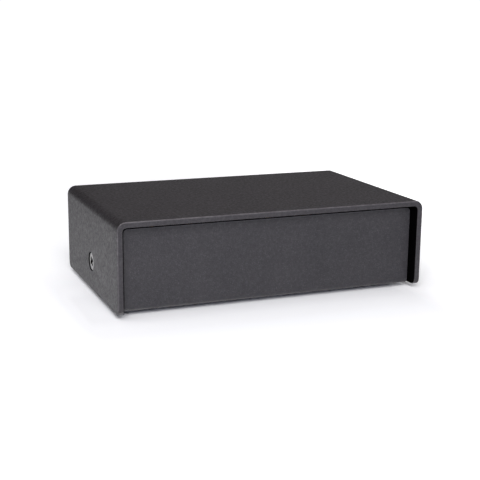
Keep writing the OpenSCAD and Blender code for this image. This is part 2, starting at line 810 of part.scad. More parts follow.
collar_y = panel_y + bushing_t;
washer_y = collar_y + collar_t + washer_gap;
thumb_y = panel_y + nut_from;
lug_y = panel_in_y - inner_washer_t - lug_t;
lock_nut_y = lug_y - lock_nut_t;
post_in_y = lock_nut_y - post_in;
groove_w = groove_depth * sqrt(2);

module ground_post() {
    color(brass) {
        bar_y(ground_x, post_in_y, panel_y + post_out - nut_chamfer, jack_z, post_d);
        bar_y(ground_x, collar_y, collar_y + collar_t, jack_z, collar_d);
        translate([ground_x, panel_y + post_out, jack_z]) rotate([90, 0, 0])
            cylinder(h = nut_chamfer, d1 = post_d - 2 * nut_chamfer, d2 = post_d);
    }
}

module ground_bushing() {
    color(black) difference() {
        union() {
            bar_y(ground_x, panel_y, collar_y, jack_z, bushing_d);
            bar_y(ground_x, panel_in_y, panel_y + bond, jack_z, sleeve_d);
        }
        bar_y(ground_x, panel_in_y - cut, collar_y + cut, jack_z, post_d + 2 * fit_play);
    }
}

// A ring on the post, from y on, as thick as t
module post_ring(y, t, d, bore) {
    difference() {
        bar_y(ground_x, y, y + t, jack_z, d);
        bar_y(ground_x, y - cut, y + t + cut, jack_z, bore);
    }
}

module ground_inner_washer() {
    color(black) post_ring(panel_in_y - inner_washer_t, inner_washer_t, bushing_d, post_d + 2 * fit_play);
}

module ground_lug() {
    color(nickel) difference() {
        union() {
            bar_y(ground_x, lug_y, lug_y + lug_t, jack_z, lug_d);
            block(ground_x, lug_w, lug_y, lug_y + lug_t, jack_z, jack_z + lug_len);
        }
        bar_y(ground_x, lug_y - cut, lug_y + lug_t + cut, jack_z, post_d + 2 * fit_play);
    }
}

module ground_lock_nut() {
    color(steel) difference() {
        translate([ground_x, lock_nut_y + lock_nut_t, jack_z]) rotate([90, 0, 0])
            cylinder(h = lock_nut_t, d = lock_nut_w / cos(30), $fn = 6);
        bar_y(ground_x, lock_nut_y - cut, lug_y + cut, jack_z, post_d + 2 * fit_play);
    }
}

module ground_wire() {
    top_z = jack_z + lug_len - wire_d;
    bend_y = lug_y - wire_d;
    color(green) {
        bar_y(ground_x, bend_y, lug_y, top_z, wire_d);
        translate([ground_x, bend_y, top_z - wire_bend_r]) rotate([90, 0, -90])
            rotate_extrude(angle = 90) translate([wire_bend_r, 0]) circle(d = wire_d);
        translate([ground_x, bend_y - wire_bend_r, board_top])
            cylinder(h = top_z - wire_bend_r - board_top, d = wire_d);
    }
}

module ground_washer() {
    color(steel) post_ring(washer_y, washer_t, washer_d, washer_bore_d);
}

module ground_thumb_nut() {
    color(brass) difference() {
        translate([ground_x, thumb_y + nut_len, jack_z]) rotate([90, 0, 0]) {
            cylinder(h = nut_chamfer, d1 = nut_d - 2 * nut_chamfer, d2 = nut_d);
            translate([0, 0, nut_chamfer]) cylinder(h = nut_len - 2 * nut_chamfer, d = nut_d);
            translate([0, 0, nut_len - nut_chamfer])
                cylinder(h = nut_chamfer, d1 = nut_d, d2 = nut_d - 2 * nut_chamfer);
        }
        bar_y(ground_x, thumb_y - cut, thumb_y + nut_len + cut, jack_z, post_d + 2 * nut_play);
        for (i = [0 : nut_grooves - 1])
            translate([ground_x, thumb_y + nut_len / 2, jack_z]) rotate([0, i * 360 / nut_grooves, 0])
                translate([nut_d / 2, 0, 0]) rotate([0, 45, 0])
                    cube([groove_w, nut_len + 2 * cut, groove_w], center = true);
    }
}

// Gain switch

module gain_switch_frame() {
    color(steel) difference() {
        block(switch_x, frame_w, frame_y, panel_in_y, board_top, board_top + frame_h);
        block(switch_x, cavity_w, frame_y + frame_t, panel_in_y - frame_t,
              board_top - cut, board_top + frame_h - frame_t);
        block(switch_x, knob_slot_w, panel_in_y - frame_t - cut, panel_in_y + cut,
              knob_z - slider_play, knob_z + knob_h + slider_play);
    }
}

module gain_switch_base() {
    color(brass) difference() {
        block(switch_x, cavity_w - 2 * jack_play, switch_y - cavity_d / 2 + jack_play,
              switch_y + cavity_d / 2 - jack_play, board_top, board_top + switch_base_t);
        for (x = terminal_x) translate([x, switch_y, board_top - cut])
            cylinder(h = switch_base_t + 2 * cut, d = terminal_d + 2 * jack_play);
    }
}

module gain_switch_terminals() {
    color(nickel) for (x = terminal_x) translate([x, switch_y, lead_z])
        cylinder(h = board_top + switch_base_t - lead_z, d = terminal_d);
}

module gain_switch_slider() {
    from_y = switch_y - carriage_d / 2;
    to_y = switch_y + carriage_d / 2;
    color(black) {
        block(slider_x, carriage_w, from_y, to_y, carriage_z, carriage_z + carriage_h);
        block(slider_x, knob_w, to_y - bond, panel_y + knob_out, knob_z, knob_z + knob_h);
    }
}

module gain_switch_wiper() {
    color(brass) block(slider_x, terminal_pitch + 2 * terminal_d, switch_y - terminal_d,
                       switch_y + terminal_d, wiper_z, carriage_z);
}

// Parts on the board

// A chip: its moulded body over two rows of legs
module amplifier_chip(side) {
    color(black) translate([chip_x, board_y(row(side)), board_top]) {
        translate([-chip_w / 2, -chip_len / 2, chip_up]) cube([chip_w, chip_len, chip_h - chip_up]);
        for (s = [-1, 1], i = [-1.5 : 1.5]) translate([0, i * leg_pitch - leg_w / 2, 0]) {
            translate([s > 0 ? chip_w / 2 - bond : -chip_w / 2 - leg_reach / 2, 0, chip_h / 2])
                cube([leg_reach / 2 + bond, leg_w, leg_t]);
            translate([s * (chip_w / 2 + leg_reach / 2) - leg_t / 2, 0, 0])
                cube([leg_t, leg_w, chip_h / 2 + leg_t]);
            translate([s > 0 ? chip_w / 2 + leg_reach / 2 : -chip_w / 2 - leg_reach, 0, 0])
                cube([leg_reach / 2, leg_w, leg_t]);
        }
    }
}

module film_capacitor(side, i) {
    color(red) translate([film_x[i], board_y(row(side)), board_top]) {
        translate([-film_w / 2, -film_d / 2, 0]) cube([film_w, film_d, film_h]);
        for (s = [-1, 1]) translate([s * film_pitch / 2, 0, lead_z - board_top])
            cylinder(h = board_top - lead_z + bond, d = film_lead_d);
    }
}

// An electrolytic capacitor: a can with a rolled groove on a square base
module can_capacitor(x, y, d, h) {
    neck_z = can_base_t + can_band;
    base_w = d + can_groove;
    color(grey) translate([x, y, board_top]) {
        translate([0, 0, can_base_t / 2]) cube([base_w, base_w, can_base_t], center = true);
        cylinder(h = neck_z, d = d);
        translate([0, 0, neck_z]) cylinder(h = can_band, d = d - 2 * can_groove);
        translate([0, 0, neck_z + can_band]) cylinder(h = h - neck_z - can_band - can_groove, d = d);
        translate([0, 0, h - can_groove]) cylinder(h = can_groove, d1 = d, d2 = d - 2 * can_groove);
    }
}

module inductor() {
    color(grey) translate([coil_at[0], board_y(coil_at[1]), board_top])
        linear_extrude(coil_h) rounded(coil_w, coil_w, coil_corner_r);
}

module voltage_regulator() {
    leg_t = regulator_leg_t;
    color(black) translate([regulator_at[0], board_y(regulator_at[1]), board_top]) {
        translate([-regulator_w / 2, -regulator_d / 2, 0]) cube([regulator_w, regulator_d, regulator_h]);
        translate([-regulator_w / 2 + leg_t, regulator_d / 2 - bond, 0])
            cube([regulator_w - 2 * leg_t, regulator_tab + bond, leg_t]);
        for (s = [-1, 1])
            translate([s * regulator_w / 3 - leg_t / 2, -regulator_d / 2 - regulator_leg, 0])
                cube([leg_t, regulator_leg + bond, leg_t]);
    }
}

module input_diode() {
    color(black) translate([diode_at[0], board_y(diode_at[1]), board_top]) {
        translate([-diode_len / 2, -diode_w / 2, leg_t / 2])
            cube([diode_len, diode_w, diode_h - leg_t / 2]);
        translate([-diode_len / 2 - leg_t, -diode_w / 4, 0])
            cube([diode_len + 2 * leg_t, diode_w / 2, leg_t]);
    }
}

module resistor(side, i) {
    y = board_y(row(side)) - resistor_len / 2;
    color(black) translate([resistor_x[i] - resistor_w / 2, y, board_top])
        cube([resistor_w, resistor_len, resistor_h]);
}

top_cover();
chassis_tray();
cover_screws();
press_nuts();
for (f = FEET) foot(f[1], f[2]);
circuit_board();
board_standoffs();
board_screws();
for (pair = [["input", input_x], ["output", output_x]]) {
    jack_block(pair[1]);
    for (side = SIDES) {
        x = jack_x(pair[1], side);
        jack_shell(x);
        jack_insulator(x, shade(side));
        jack_contact(x);
    }
}
power_jack_body();
power_jack_pin();
power_jack_spring();
ground_post();
ground_bushing();
ground_inner_washer();
ground_lug();
ground_lock_nut();
ground_wire();
ground_washer();
ground_thumb_nut();
gain_switch_frame();
gain_switch_base();
gain_switch_terminals();
gain_switch_slider();
gain_switch_wiper();
for (side = SIDES) {
    amplifier_chip(side);
    can_capacitor(coupling_x, board_y(row(side)), coupling_d, coupling_h);
    for (i = [0, 1]) {
        film_capacitor(side, i);
        resistor(side, i);
    }
}
for (i = [0, 1]) can_capacitor(reservoir_x, board_y([left_row, right_row][i]), reservoir_d, reservoir_h);
inductor();
voltage_regulator();
input_diode();
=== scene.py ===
import json
import math
import bpy
import bmesh
from mathutils import Matrix, Vector

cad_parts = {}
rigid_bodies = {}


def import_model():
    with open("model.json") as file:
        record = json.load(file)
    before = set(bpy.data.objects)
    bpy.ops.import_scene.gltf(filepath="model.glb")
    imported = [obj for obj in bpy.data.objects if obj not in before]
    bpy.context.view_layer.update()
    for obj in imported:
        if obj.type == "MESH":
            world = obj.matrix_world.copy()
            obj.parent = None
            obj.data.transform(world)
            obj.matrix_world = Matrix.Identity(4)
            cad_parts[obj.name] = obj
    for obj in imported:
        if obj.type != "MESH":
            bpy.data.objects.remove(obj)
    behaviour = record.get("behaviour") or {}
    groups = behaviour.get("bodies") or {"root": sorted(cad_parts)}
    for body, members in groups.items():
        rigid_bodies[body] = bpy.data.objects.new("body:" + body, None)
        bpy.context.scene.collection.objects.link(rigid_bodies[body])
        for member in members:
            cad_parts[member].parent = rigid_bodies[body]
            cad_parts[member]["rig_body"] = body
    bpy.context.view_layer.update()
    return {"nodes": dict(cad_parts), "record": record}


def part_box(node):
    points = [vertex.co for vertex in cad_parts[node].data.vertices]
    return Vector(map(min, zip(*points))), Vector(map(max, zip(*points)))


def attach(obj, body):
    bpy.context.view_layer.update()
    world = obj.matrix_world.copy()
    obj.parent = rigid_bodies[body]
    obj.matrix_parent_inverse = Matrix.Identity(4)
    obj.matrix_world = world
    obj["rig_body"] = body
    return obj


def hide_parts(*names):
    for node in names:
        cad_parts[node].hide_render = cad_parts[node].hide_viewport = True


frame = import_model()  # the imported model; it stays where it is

mm = 0.001
scene = bpy.context.scene
scene.view_settings.view_transform = "Standard"
slotOf = {part["node"]: part["material_slot"] for part in frame["record"]["subparts"]}
bothSides = ("left", "right")
bothPairs = ("input", "output")

# the camera's place is in millimetres, its angles are in degrees
cameraSetup = {"azimuth": -22.1, "elevation": 13.36, "roll": 0.57, "place": (-135.57, -338.58, 99.73),
               "lens": 79.05, "sensor": 36.0, "clip": (0.01, 20.0)}
aimPoint = Vector((0.0, 0.0, 0.014))  # where the lights point
lightSetup = {
    "key": {"place": (-0.30, -0.88, 0.74), "size": (0.95, 0.7), "power": 17.6, "colour": (1.0, 0.963, 0.97)},
    "fill": {"place": (-0.42, -0.98, 0.32), "size": (0.7, 0.4), "power": 3.6, "colour": (0.80, 0.80, 1.0)},
    "above": {"place": (-0.30, 0.00, 0.65), "size": (0.5, 0.6), "power": 1.3, "colour": (1.0, 0.97, 1.0)},
    "high": {"place": (-0.30, 0.35, 1.35), "size": (1.6, 1.2), "power": 3.6, "colour": (1.0, 0.97, 1.0)},
    "back": {"place": (0.85, 1.40, 0.40), "size": (1.3, 0.5), "power": 0.62, "colour": (1.0, 0.96, 1.0)},
    "rear": {"place": (1.50, 0.62, 0.20), "size": (0.6, 0.4), "power": 4.0, "colour": (1.0, 0.98, 0.97)},
    "under": {"place": (0.0, 0.05, -1.00), "size": (0.5, 0.5), "power": 2.0, "colour": (1.0, 0.98, 0.98)},
}


def makeCamera(setup):
    a, e, r = (math.radians(setup[key]) for key in ("azimuth", "elevation", "roll"))
    back = Vector((math.sin(a) * math.cos(e), -math.cos(a) * math.cos(e), math.sin(e)))
    side = Vector((math.cos(a), math.sin(a), 0.0))
    up = back.cross(side)
    across = side * math.cos(r) + up * math.sin(r)
    upright = up * math.cos(r) - side * math.sin(r)
    data = bpy.data.cameras.new("studioCamera")
    data.lens, data.sensor_width = setup["lens"], setup["sensor"]
    data.clip_start, data.clip_end = setup["clip"]
    camera = bpy.data.objects.new("studioCamera", data)
    turn = Matrix((across, upright, back)).transposed().to_4x4()
    camera.matrix_world = Matrix.Translation(Vector(setup["place"]) * mm) @ turn
    scene.collection.objects.link(camera)
    scene.camera = camera


def makeLights(setup, floorAlone):
    for name, light in setup.items():
        data = bpy.data.lights.new(name + "Light", "AREA")
        data.shape, data.size, data.size_y = "RECTANGLE", *light["size"]
        data.energy, data.color = light["power"], light["colour"]
        lamp = bpy.data.objects.new(name + "Light", data)
        lamp.location = light["place"]
        lamp.visible_camera = False
        lamp.rotation_euler = (aimPoint - lamp.location).to_track_quat("-Z", "Y").to_euler()
        scene.collection.objects.link(lamp)
        if lamp.location.z < 0:  # a light under the floor shines through it, on the case alone
            lamp.light_linking.receiver_collection = lamp.light_linking.blocker_collection = floorAlone


def addNode(tree, kind, **settings):
    node = tree.nodes.new(kind)
    for key, value in settings.items():
        setattr(node, key, value)
    return node


def feed(tree, socket, value):
    if isinstance(value, bpy.types.NodeSocket):
        tree.links.new(value, socket)
    else:
        socket.default_value = value


def inOrder(tree, node, *values):
    # feeds a node's inputs from the first on
    for socket, value in zip(node.inputs, values):
        feed(tree, socket, value)
    return node.outputs


def byName(tree, node, **values):
    # feeds a node's inputs by name, with _ for a space
    for label, value in values.items():
        feed(tree, node.inputs[label.replace("_", " ")], value)
    return node.outputs


def calc(tree, operation, *values):
    return inOrder(tree, addNode(tree, "ShaderNodeMath", operation=operation), *values)[0]


def calcVector(tree, operation, *values, result="Vector"):
    return inOrder(tree, addNode(tree, "ShaderNodeVectorMath", operation=operation), *values)[result]


def scaled(tree, vector, factor):
    node = addNode(tree, "ShaderNodeVectorMath", operation="SCALE")
    return byName(tree, node, Vector=vector, Scale=factor)["Vector"]


def split(tree, vector):
    return inOrder(tree, addNode(tree, "ShaderNodeSeparateXYZ"), vector)


def remap(tree, value, low, high, toLow=0.0, toHigh=1.0):
    return inOrder(tree, addNode(tree, "ShaderNodeMapRange", clamp=True), value, low, high, toLow, toHigh)["Result"]


def asColour(value):
    return value if isinstance(value, bpy.types.NodeSocket) else (*value[:3], 1.0)


def blendColour(tree, factor, colourA, colourB):
    node = addNode(tree, "ShaderNodeMix", data_type="RGBA")
    return byName(tree, node, Factor=factor, A=asColour(colourA), B=asColour(colourB))["Result"]


def noise(tree, vector, scale, detail=2.0, roughness=0.5):
    node = addNode(tree, "ShaderNodeTexNoise")
    return byName(tree, node, Vector=vector, Scale=scale, Detail=detail, Roughness=roughness)["Fac"]


def cells(tree, vector, scale):
    return byName(tree, addNode(tree, "ShaderNodeTexVoronoi"), Vector=vector, Scale=scale)["Distance"]


def startGroup(name, outputs, **inputs):
    # effects take the position in millimetres and put out values
    tree = bpy.data.node_groups.new(name, "ShaderNodeTree")
    for label, value in {"Position": (0.0, 0.0, 0.0), **inputs}.items():
        kind = "NodeSocketFloat" if isinstance(value, float) else "NodeSocketVector"
        tree.interface.new_socket(label, in_out="INPUT", socket_type=kind).default_value = value
    for label in outputs:
        tree.interface.new_socket(label, in_out="OUTPUT", socket_type="NodeSocketFloat")
    return tree, tree.nodes.new("NodeGroupInput").outputs, tree.nodes.new("NodeGroupOutput").inputs


def useGroup(tree, group, **values):
    return byName(tree, addNode(tree, "ShaderNodeGroup", node_tree=group), **values)


def sandGroup():
    # fine sand of a textured coat or a moulded surface: bumps, pale specks, slow mottling, shiny spots
    tree, given, put = startGroup("sandTexture", ("Height", "Specks", "Mottle", "Shine"), Grain=0.35)
    fine = scaled(tree, given["Position"], calc(tree, "DIVIDE", 1.0, given["Grain"]))
    beads = remap(tree, cells(tree, fine, 1.0), 0.1, 0.75, 1.0, 0.0)
    rough = noise(tree, fine, 0.9, 3.0, 0.6)
    lumps = noise(tree, fine, 0.30, 2.0, 0.5)
    small = calc(tree, "MULTIPLY_ADD", beads, 0.45, calc(tree, "MULTIPLY", rough, 0.35))
    feed(tree, put["Height"], calc(tree, "MULTIPLY_ADD", lumps, 0.9, small))
    sharpSpecks = remap(tree, noise(tree, fine, 1.25, 1.0), 0.60, 0.74)
    softSpecks = remap(tree, noise(tree, fine, 0.42, 2.0, 0.6), 0.58, 0.80, 0.0, 0.6)
    feed(tree, put["Specks"], calc(tree, "MAXIMUM", sharpSpecks, softSpecks))
    feed(tree, put["Mottle"], noise(tree, given["Position"], 0.09, 3.0, 0.55))
    feed(tree, put["Shine"], remap(tree, noise(tree, fine, 0.46, 2.0, 0.6), 0.40, 0.66))
    return tree


def edgeGroup():
    # pale wear and painted highlight along the edges of a box, in patches: up to 1 on the edge, 0 from Width inwards
    tree, given, put = startGroup("boxEdges", ("WearAndHighlight",), Centre=(0, 0, 0), Half=(1, 1, 1), Width=0.5)
    fromCentre = calcVector(tree, "ABSOLUTE", calcVector(tree, "SUBTRACT", given["Position"], given["Centre"]))
    x, y, z = split(tree, calcVector(tree, "SUBTRACT", given["Half"], fromCentre))
    least, most, total = (calc(tree, kind, calc(tree, kind, x, y), z) for kind in ("MINIMUM", "MAXIMUM", "ADD"))
    middle = calc(tree, "SUBTRACT", calc(tree, "SUBTRACT", total, least), most)  # small only near two sides
    edge = remap(tree, middle, 0.0, given["Width"], 1.0, 0.0)
    patches = remap(tree, noise(tree, given["Position"], 0.6, 4.0, 0.65), 0.38, 0.62, 0.4, 1.0)
    feed(tree, put["WearAndHighlight"], calc(tree, "MULTIPLY", edge, patches))
    return tree


def turnedGroup():
    # rings left by the lathe round an axis along Y
    tree, given, put = startGroup("latheRings", ("Height", "Tone"), Axis=(0, 0, 0), Pitch=0.12)
    offset = calcVector(tree, "SUBTRACT", given["Position"], given["Axis"])
    radius = calcVector(tree, "LENGTH", calcVector(tree, "MULTIPLY", offset, (1.0, 0.0, 1.0)), result="Value")
    along = calc(tree, "ADD", radius, split(tree, given["Position"])[1])
    line = addNode(tree, "ShaderNodeCombineXYZ")
    feed(tree, line.inputs[0], calc(tree, "DIVIDE", along, given["Pitch"]))
    feed(tree, put["Height"], noise(tree, line.outputs[0], 1.0, 2.0, 0.7))
    feed(tree, put["Tone"], remap(tree, noise(tree, given["Position"], 0.7, 3.0), 0.3, 0.7))
    return tree


def drawnGroup():
    # streaks along X of rolled or drawn metal
    tree, given, put = startGroup("rolledStreaks", ("Height", "Tone"), Spread=1.0)
    thin = calcVector(tree, "MULTIPLY", given["Position"], (0.35, 9.0, 9.0))
    feed(tree, put["Height"], noise(tree, scaled(tree, thin, given["Spread"]), 1.0, 3.0, 0.6))
    feed(tree, put["Tone"], noise(tree, given["Position"], 0.35, 3.0))
    return tree


def dustGroup():
    # a little dust on what faces up
    tree, given, put = startGroup("settledDust", ("Mask",), Amount=0.3)
    normal = addNode(tree, "ShaderNodeNewGeometry").outputs["Normal"]
    upward = remap(tree, split(tree, normal)[2], 0.35, 0.95)
    flecks = remap(tree, noise(tree, given["Position"], 1.9, 4.0, 0.7), 0.52, 0.80)
    feed(tree, put["Mask"], calc(tree, "MULTIPLY", calc(tree, "MULTIPLY", upward, flecks), given["Amount"]))
    return tree


sand, boxEdges, latheRings = sandGroup(), edgeGroup(), turnedGroup()
rolledStreaks, settledDust = drawnGroup(), dustGroup()
print("shared effects ready")


def startMaterial(name, **sockets):
    material = bpy.data.materials.new(name)
    material.use_nodes = True
    tree = material.node_tree
    shader = tree.nodes["Principled BSDF"]
    byName(tree, shader, **sockets)
    where = addNode(tree, "ShaderNodeTexCoord").outputs["Object"]
    return material, tree, shader, scaled(tree, where, 1 / mm)


def setSurface(tree, shader, colour, roughness, height, relief):
    # relief is the real height of the bumps, in millimetres
    bumped = byName(tree, addNode(tree, "ShaderNodeBump"), Height=height, Distance=relief * mm)["Normal"]
    byName(tree, shader, Base_Color=colour, Roughness=roughness, Normal=bumped)


def cornersOf(nodeName):
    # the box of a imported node, in millimetres
    low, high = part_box(nodeName)
    return low / mm, high / mm


def boxOf(nodeName):
    low, high = cornersOf(nodeName)
    return (low + high) / 2, (high - low) / 2


# coats: grain and relief are the size and height of the sand, roughness runs from peaks to hollows
coatLook = {"dark": (0.0148, 0.0133, 0.0146), "pale": (0.054, 0.049, 0.053), "speck": (0.20, 0.19, 0.20),
            "speckLevel": 0.13, "grain": 0.42, "relief": 0.075, "roughness": (0.40, 0.60),
            "shine": 0.42, "ior": 1.46, "edgeWidth": 0.45, "wearAndHighlight": 0.25}
# the panel coat is a little bluer than the cover's: a painted tint of the bluish front light
panelLook = coatLook | {"dark": (0.0142, 0.0136, 0.0165), "speck": (0.20, 0.195, 0.22),
                        "speckLevel": 0.12, "shine": 0.20, "ior": 1.49}
# paler and more rubbed: painted highlight on the cover's cut edges
edgeHighlightLook = coatLook | {"dark": (0.0180, 0.0165, 0.0195), "pale": (0.064, 0.060, 0.067),
                       "edgeWidth": 0.55, "wearAndHighlight": 0.55}
# near black and hardly glossy: painted shade for faces inside the cover, in its countersinks and in screw recesses
paintedShadeLook = {"dark": (0.0006, 0.0006, 0.0006), "pale": (0.002, 0.002, 0.002), "speck": (0.004, 0.004, 0.004),
              "speckLevel": 0.10, "grain": 0.42, "relief": 0.075, "roughness": (0.80, 0.90),
              "shine": 0.0, "ior": 1.08, "edgeWidth": 0.05, "wearAndHighlight": 0.0}
coatDust = {"amount": 0.05, "colour": (0.40, 0.39, 0.37)}
plasticDust = {"amount": 0.10, "colour": (0.42, 0.41, 0.39)}
boardLook = {"mask": ((0.006, 0.060, 0.030), (0.012, 0.095, 0.045)),
             "laminate": ((0.42, 0.36, 0.20), (0.30, 0.25, 0.13)),
             "roughness": (0.30, 0.75), "relief": 0.01}


def powderCoat(name, look, nodeName):
    material, tree, shader, position = startMaterial(name, IOR=look["ior"], Coat_Roughness=0.40)
    centre, half = (tuple(each) for each in boxOf(nodeName))
    grain = useGroup(tree, sand, Position=position, Grain=look["grain"])
    edges = useGroup(tree, boxEdges, Position=position, Centre=centre, Half=half, Width=look["edgeWidth"])
    dust = useGroup(tree, settledDust, Position=position, Amount=coatDust["amount"])
    base = blendColour(tree, remap(tree, grain["Mottle"], 0.3, 0.7, 0.0, 0.12), look["dark"], look["pale"])
    base = blendColour(tree, calc(tree, "MULTIPLY", grain["Specks"], look["speckLevel"]), base, look["speck"])
    # paler along the box edges: wear and painted highlight
    base = blendColour(tree, calc(tree, "MULTIPLY", edges["WearAndHighlight"], look["wearAndHighlight"]), base, look["speck"])
    base = blendColour(tree, dust["Mask"], base, coatDust["colour"])
    onPeaks, inHollows = look["roughness"]
    uneven = remap(tree, grain["Height"], 0.3, 1.2, inHollows, onPeaks)
    feed(tree, shader.inputs["Coat Weight"], calc(tree, "MULTIPLY", grain["Shine"], look["shine"]))
    setSurface(tree, shader, base, uneven, grain["Height"], look["relief"])
    return material


def mouldedPlastic(name, colour, roughness=0.42, grain=0.12, relief=0.006):
    material, tree, shader, position = startMaterial(name, IOR=1.49)
    texture = useGroup(tree, sand, Position=position, Grain=grain)
    dust = useGroup(tree, settledDust, Position=position, Amount=plasticDust["amount"])
    lighter = tuple(min(1.0, c * 1.35 + 0.004) for c in colour)
    base = blendColour(tree, texture["Mottle"], colour, lighter)
    base = blendColour(tree, dust["Mask"], base, plasticDust["colour"])
    uneven = remap(tree, texture["Mottle"], 0.2, 0.8, roughness - 0.06, roughness + 0.1)
    setSurface(tree, shader, base, uneven, texture["Height"], relief)
    return material


def platedMetal(name, colour, dull, roughness=0.22, pitch=0.12, axis=(0, 0, 0), relief=0.003):
    # turned and plated: rings from the lathe, duller patches where it was handled
    material, tree, shader, position = startMaterial(name, Metallic=1.0)
    rings = useGroup(tree, latheRings, Position=position, Axis=axis, Pitch=pitch)
    uneven = remap(tree, rings["Tone"], 0.0, 1.0, roughness, roughness + 0.14)
    setSurface(tree, shader, blendColour(tree, rings["Tone"], colour, dull), uneven, rings["Height"], relief)
    return material


def rolledMetal(name, colour, dull, roughness=0.30, relief=0.004):
    material, tree, shader, position = startMaterial(name, Metallic=1.0)
    streaks = useGroup(tree, rolledStreaks, Position=position)
    uneven = remap(tree, streaks["Height"], 0.3, 0.7, roughness, roughness + 0.15)
    setSurface(tree, shader, blendColour(tree, streaks["Tone"], colour, dull), uneven, streaks["Height"], relief)
    return material


def boardMask(name, look):
    # solder mask on both faces, bare laminate on the cut edges
    material, tree, shader, position = startMaterial(name, IOR=1.5, Coat_Weight=0.4, Coat_Roughness=0.15)
    centre, half = boxOf("circuit_board")
    fromCentre = calcVector(tree, "ABSOLUTE", calcVector(tree, "SUBTRACT", position, tuple(centre)))
    side = remap(tree, split(tree, fromCentre)[2], half.z - 0.06, half.z - 0.02, 1.0, 0.0)
    weave = useGroup(tree, rolledStreaks, Position=position, Spread=0.5)
    mask = blendColour(tree, weave["Tone"], *look["mask"])
    laminate = blendColour(tree, weave["Height"], *look["laminate"])
    uneven = remap(tree, side, 0.0, 1.0, *look["roughness"])
    setSurface(tree, shader, blendColour(tree, side, mask, laminate), uneven, weave["Height"], look["relief"])
    return material


groundCentre, _ = boxOf("ground_post")
coverCentre, coverHalf = boxOf("top_cover")
materials = {
    "cover_coat": powderCoat("coverPowderCoat", coatLook, "top_cover"),
    "tray_coat": powderCoat("trayPowderCoat", panelLook, "chassis_tray"),
    "painted_shade_coat": powderCoat("paintedShadeCoat", paintedShadeLook, "top_cover"),
    "edge_painted_highlight": powderCoat("cutEdgePaintedHighlight", edgeHighlightLook, "top_cover"),
    "steel": rolledMetal("zincPlatedSteel", (0.60, 0.595, 0.585), (0.34, 0.335, 0.33), 0.32),
    "rubber": mouldedPlastic("footRubber", (0.012, 0.012, 0.012), 0.75, 0.3, 0.02),
    "board": boardMask("greenSolderMask", boardLook),
    "moulding": mouldedPlastic("blackMoulding", (0.014, 0.014, 0.015)),
    "nickel": platedMetal("nickelPlate", (0.72, 0.69, 0.63), (0.55, 0.52, 0.47)),
    "white_insulator": mouldedPlastic("whiteInsulator", (0.74, 0.73, 0.69), 0.35, 0.2, 0.004),
    "red_insulator": mouldedPlastic("redInsulator", (0.42, 0.018, 0.014), 0.35, 0.2, 0.004),
    "spring_brass": rolledMetal("springBrass", (0.80, 0.60, 0.27), (0.60, 0.43, 0.18), 0.28),
    "ground_brass": platedMetal("turnedBrass", (0.85, 0.66, 0.30), (0.66, 0.48, 0.20), 0.20, 0.10,
                                tuple(groundCentre)),
    "phenolic": mouldedPlastic("phenolicBase", (0.20, 0.085, 0.030), 0.5, 0.2, 0.01),
    "wire_jacket": mouldedPlastic("greenJacket", (0.02, 0.16, 0.04), 0.4, 0.3, 0.01),
    "film_case": mouldedPlastic("filmCase", (0.30, 0.030, 0.018), 0.3, 0.25, 0.006),
    "can": rolledMetal("aluminiumCan", (0.70, 0.71, 0.73), (0.55, 0.56, 0.58), 0.25),
    "ferrite": mouldedPlastic("ferrite", (0.035, 0.035, 0.037), 0.6, 0.1, 0.02),
    "chip_epoxy": mouldedPlastic("chipEpoxy", (0.013, 0.013, 0.014), 0.6, 0.06, 0.01),
    "resistor_film": mouldedPlastic("resistorGlaze", (0.016, 0.016, 0.018), 0.25, 0.2, 0.003),
}
print("materials ready:", len(materials))

alongY = Matrix.Rotation(math.radians(-90), 4, "X")  # a piece turned round Z then points along Y
alongX = Matrix.Rotation(math.radians(90), 4, "Y")
againstX = Matrix.Rotation(math.radians(-90), 4, "Y")
weldDistance, flatWithin, roundFrom = 0.001, math.radians(0.5), math.radians(30)
onAxis = 1e-6  # a profile's point with a smaller radius is a single vertex


def finishPiece(name, bm, nodeNames, smoothAngle=32, others=()):
    # others holds (finish, test) pairs: a face whose middle passes a test takes that finish
    bmesh.ops.recalc_face_normals(bm, faces=bm.faces)
    for face in bm.faces:
        middle = face.calc_center_median()
        face.material_index = next((i + 1 for i, (_, test) in enumerate(others) if test(middle)), 0)
    mesh = bpy.data.meshes.new(name)
    bm.to_mesh(mesh)
    bm.free()
    mesh.transform(Matrix.Scale(mm, 4))
    piece = bpy.data.objects.new(name, mesh)
    scene.collection.objects.link(piece)
    slot = slotOf[nodeNames[0]]
    for each in (slot, *(finish for finish, _ in others)):
        mesh.materials.append(materials[each])
    for face in mesh.polygons:
        face.use_smooth = True
    mesh.set_sharp_from_angle(angle=math.radians(smoothAngle))
    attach(piece, frame["nodes"][nodeNames[0]]["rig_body"])
    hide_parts(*nodeNames)
    return piece


def softened(name, nodeName, width, steps=2, weightOf=None, others=()):
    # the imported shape, welded and its flat faces joined, with edges rounded to a radius of about width
    bm = bmesh.new()
    bm.from_mesh(frame["nodes"][nodeName].data)
    bmesh.ops.transform(bm, matrix=Matrix.Scale(1 / mm, 4), verts=bm.verts)
    bmesh.ops.remove_doubles(bm, verts=bm.verts, dist=weldDistance)
    bmesh.ops.dissolve_limit(bm, angle_limit=flatWithin, verts=bm.verts, edges=bm.edges)
    weights = bm.edges.layers.float.new("bevel_weight_edge")
    for edge in bm.edges:
        if edge.is_manifold and edge.calc_face_angle() > roundFrom:
            middle = (edge.verts[0].co + edge.verts[1].co) / 2
            edge[weights] = weightOf(middle) if weightOf else 1.0
    piece = finishPiece(name, bm, [nodeName], others=others)
    bevel = piece.modifiers.new("roundedEdges", "BEVEL")
    bevel.limit_method, bevel.width, bevel.segments = "WEIGHT", width * mm, steps


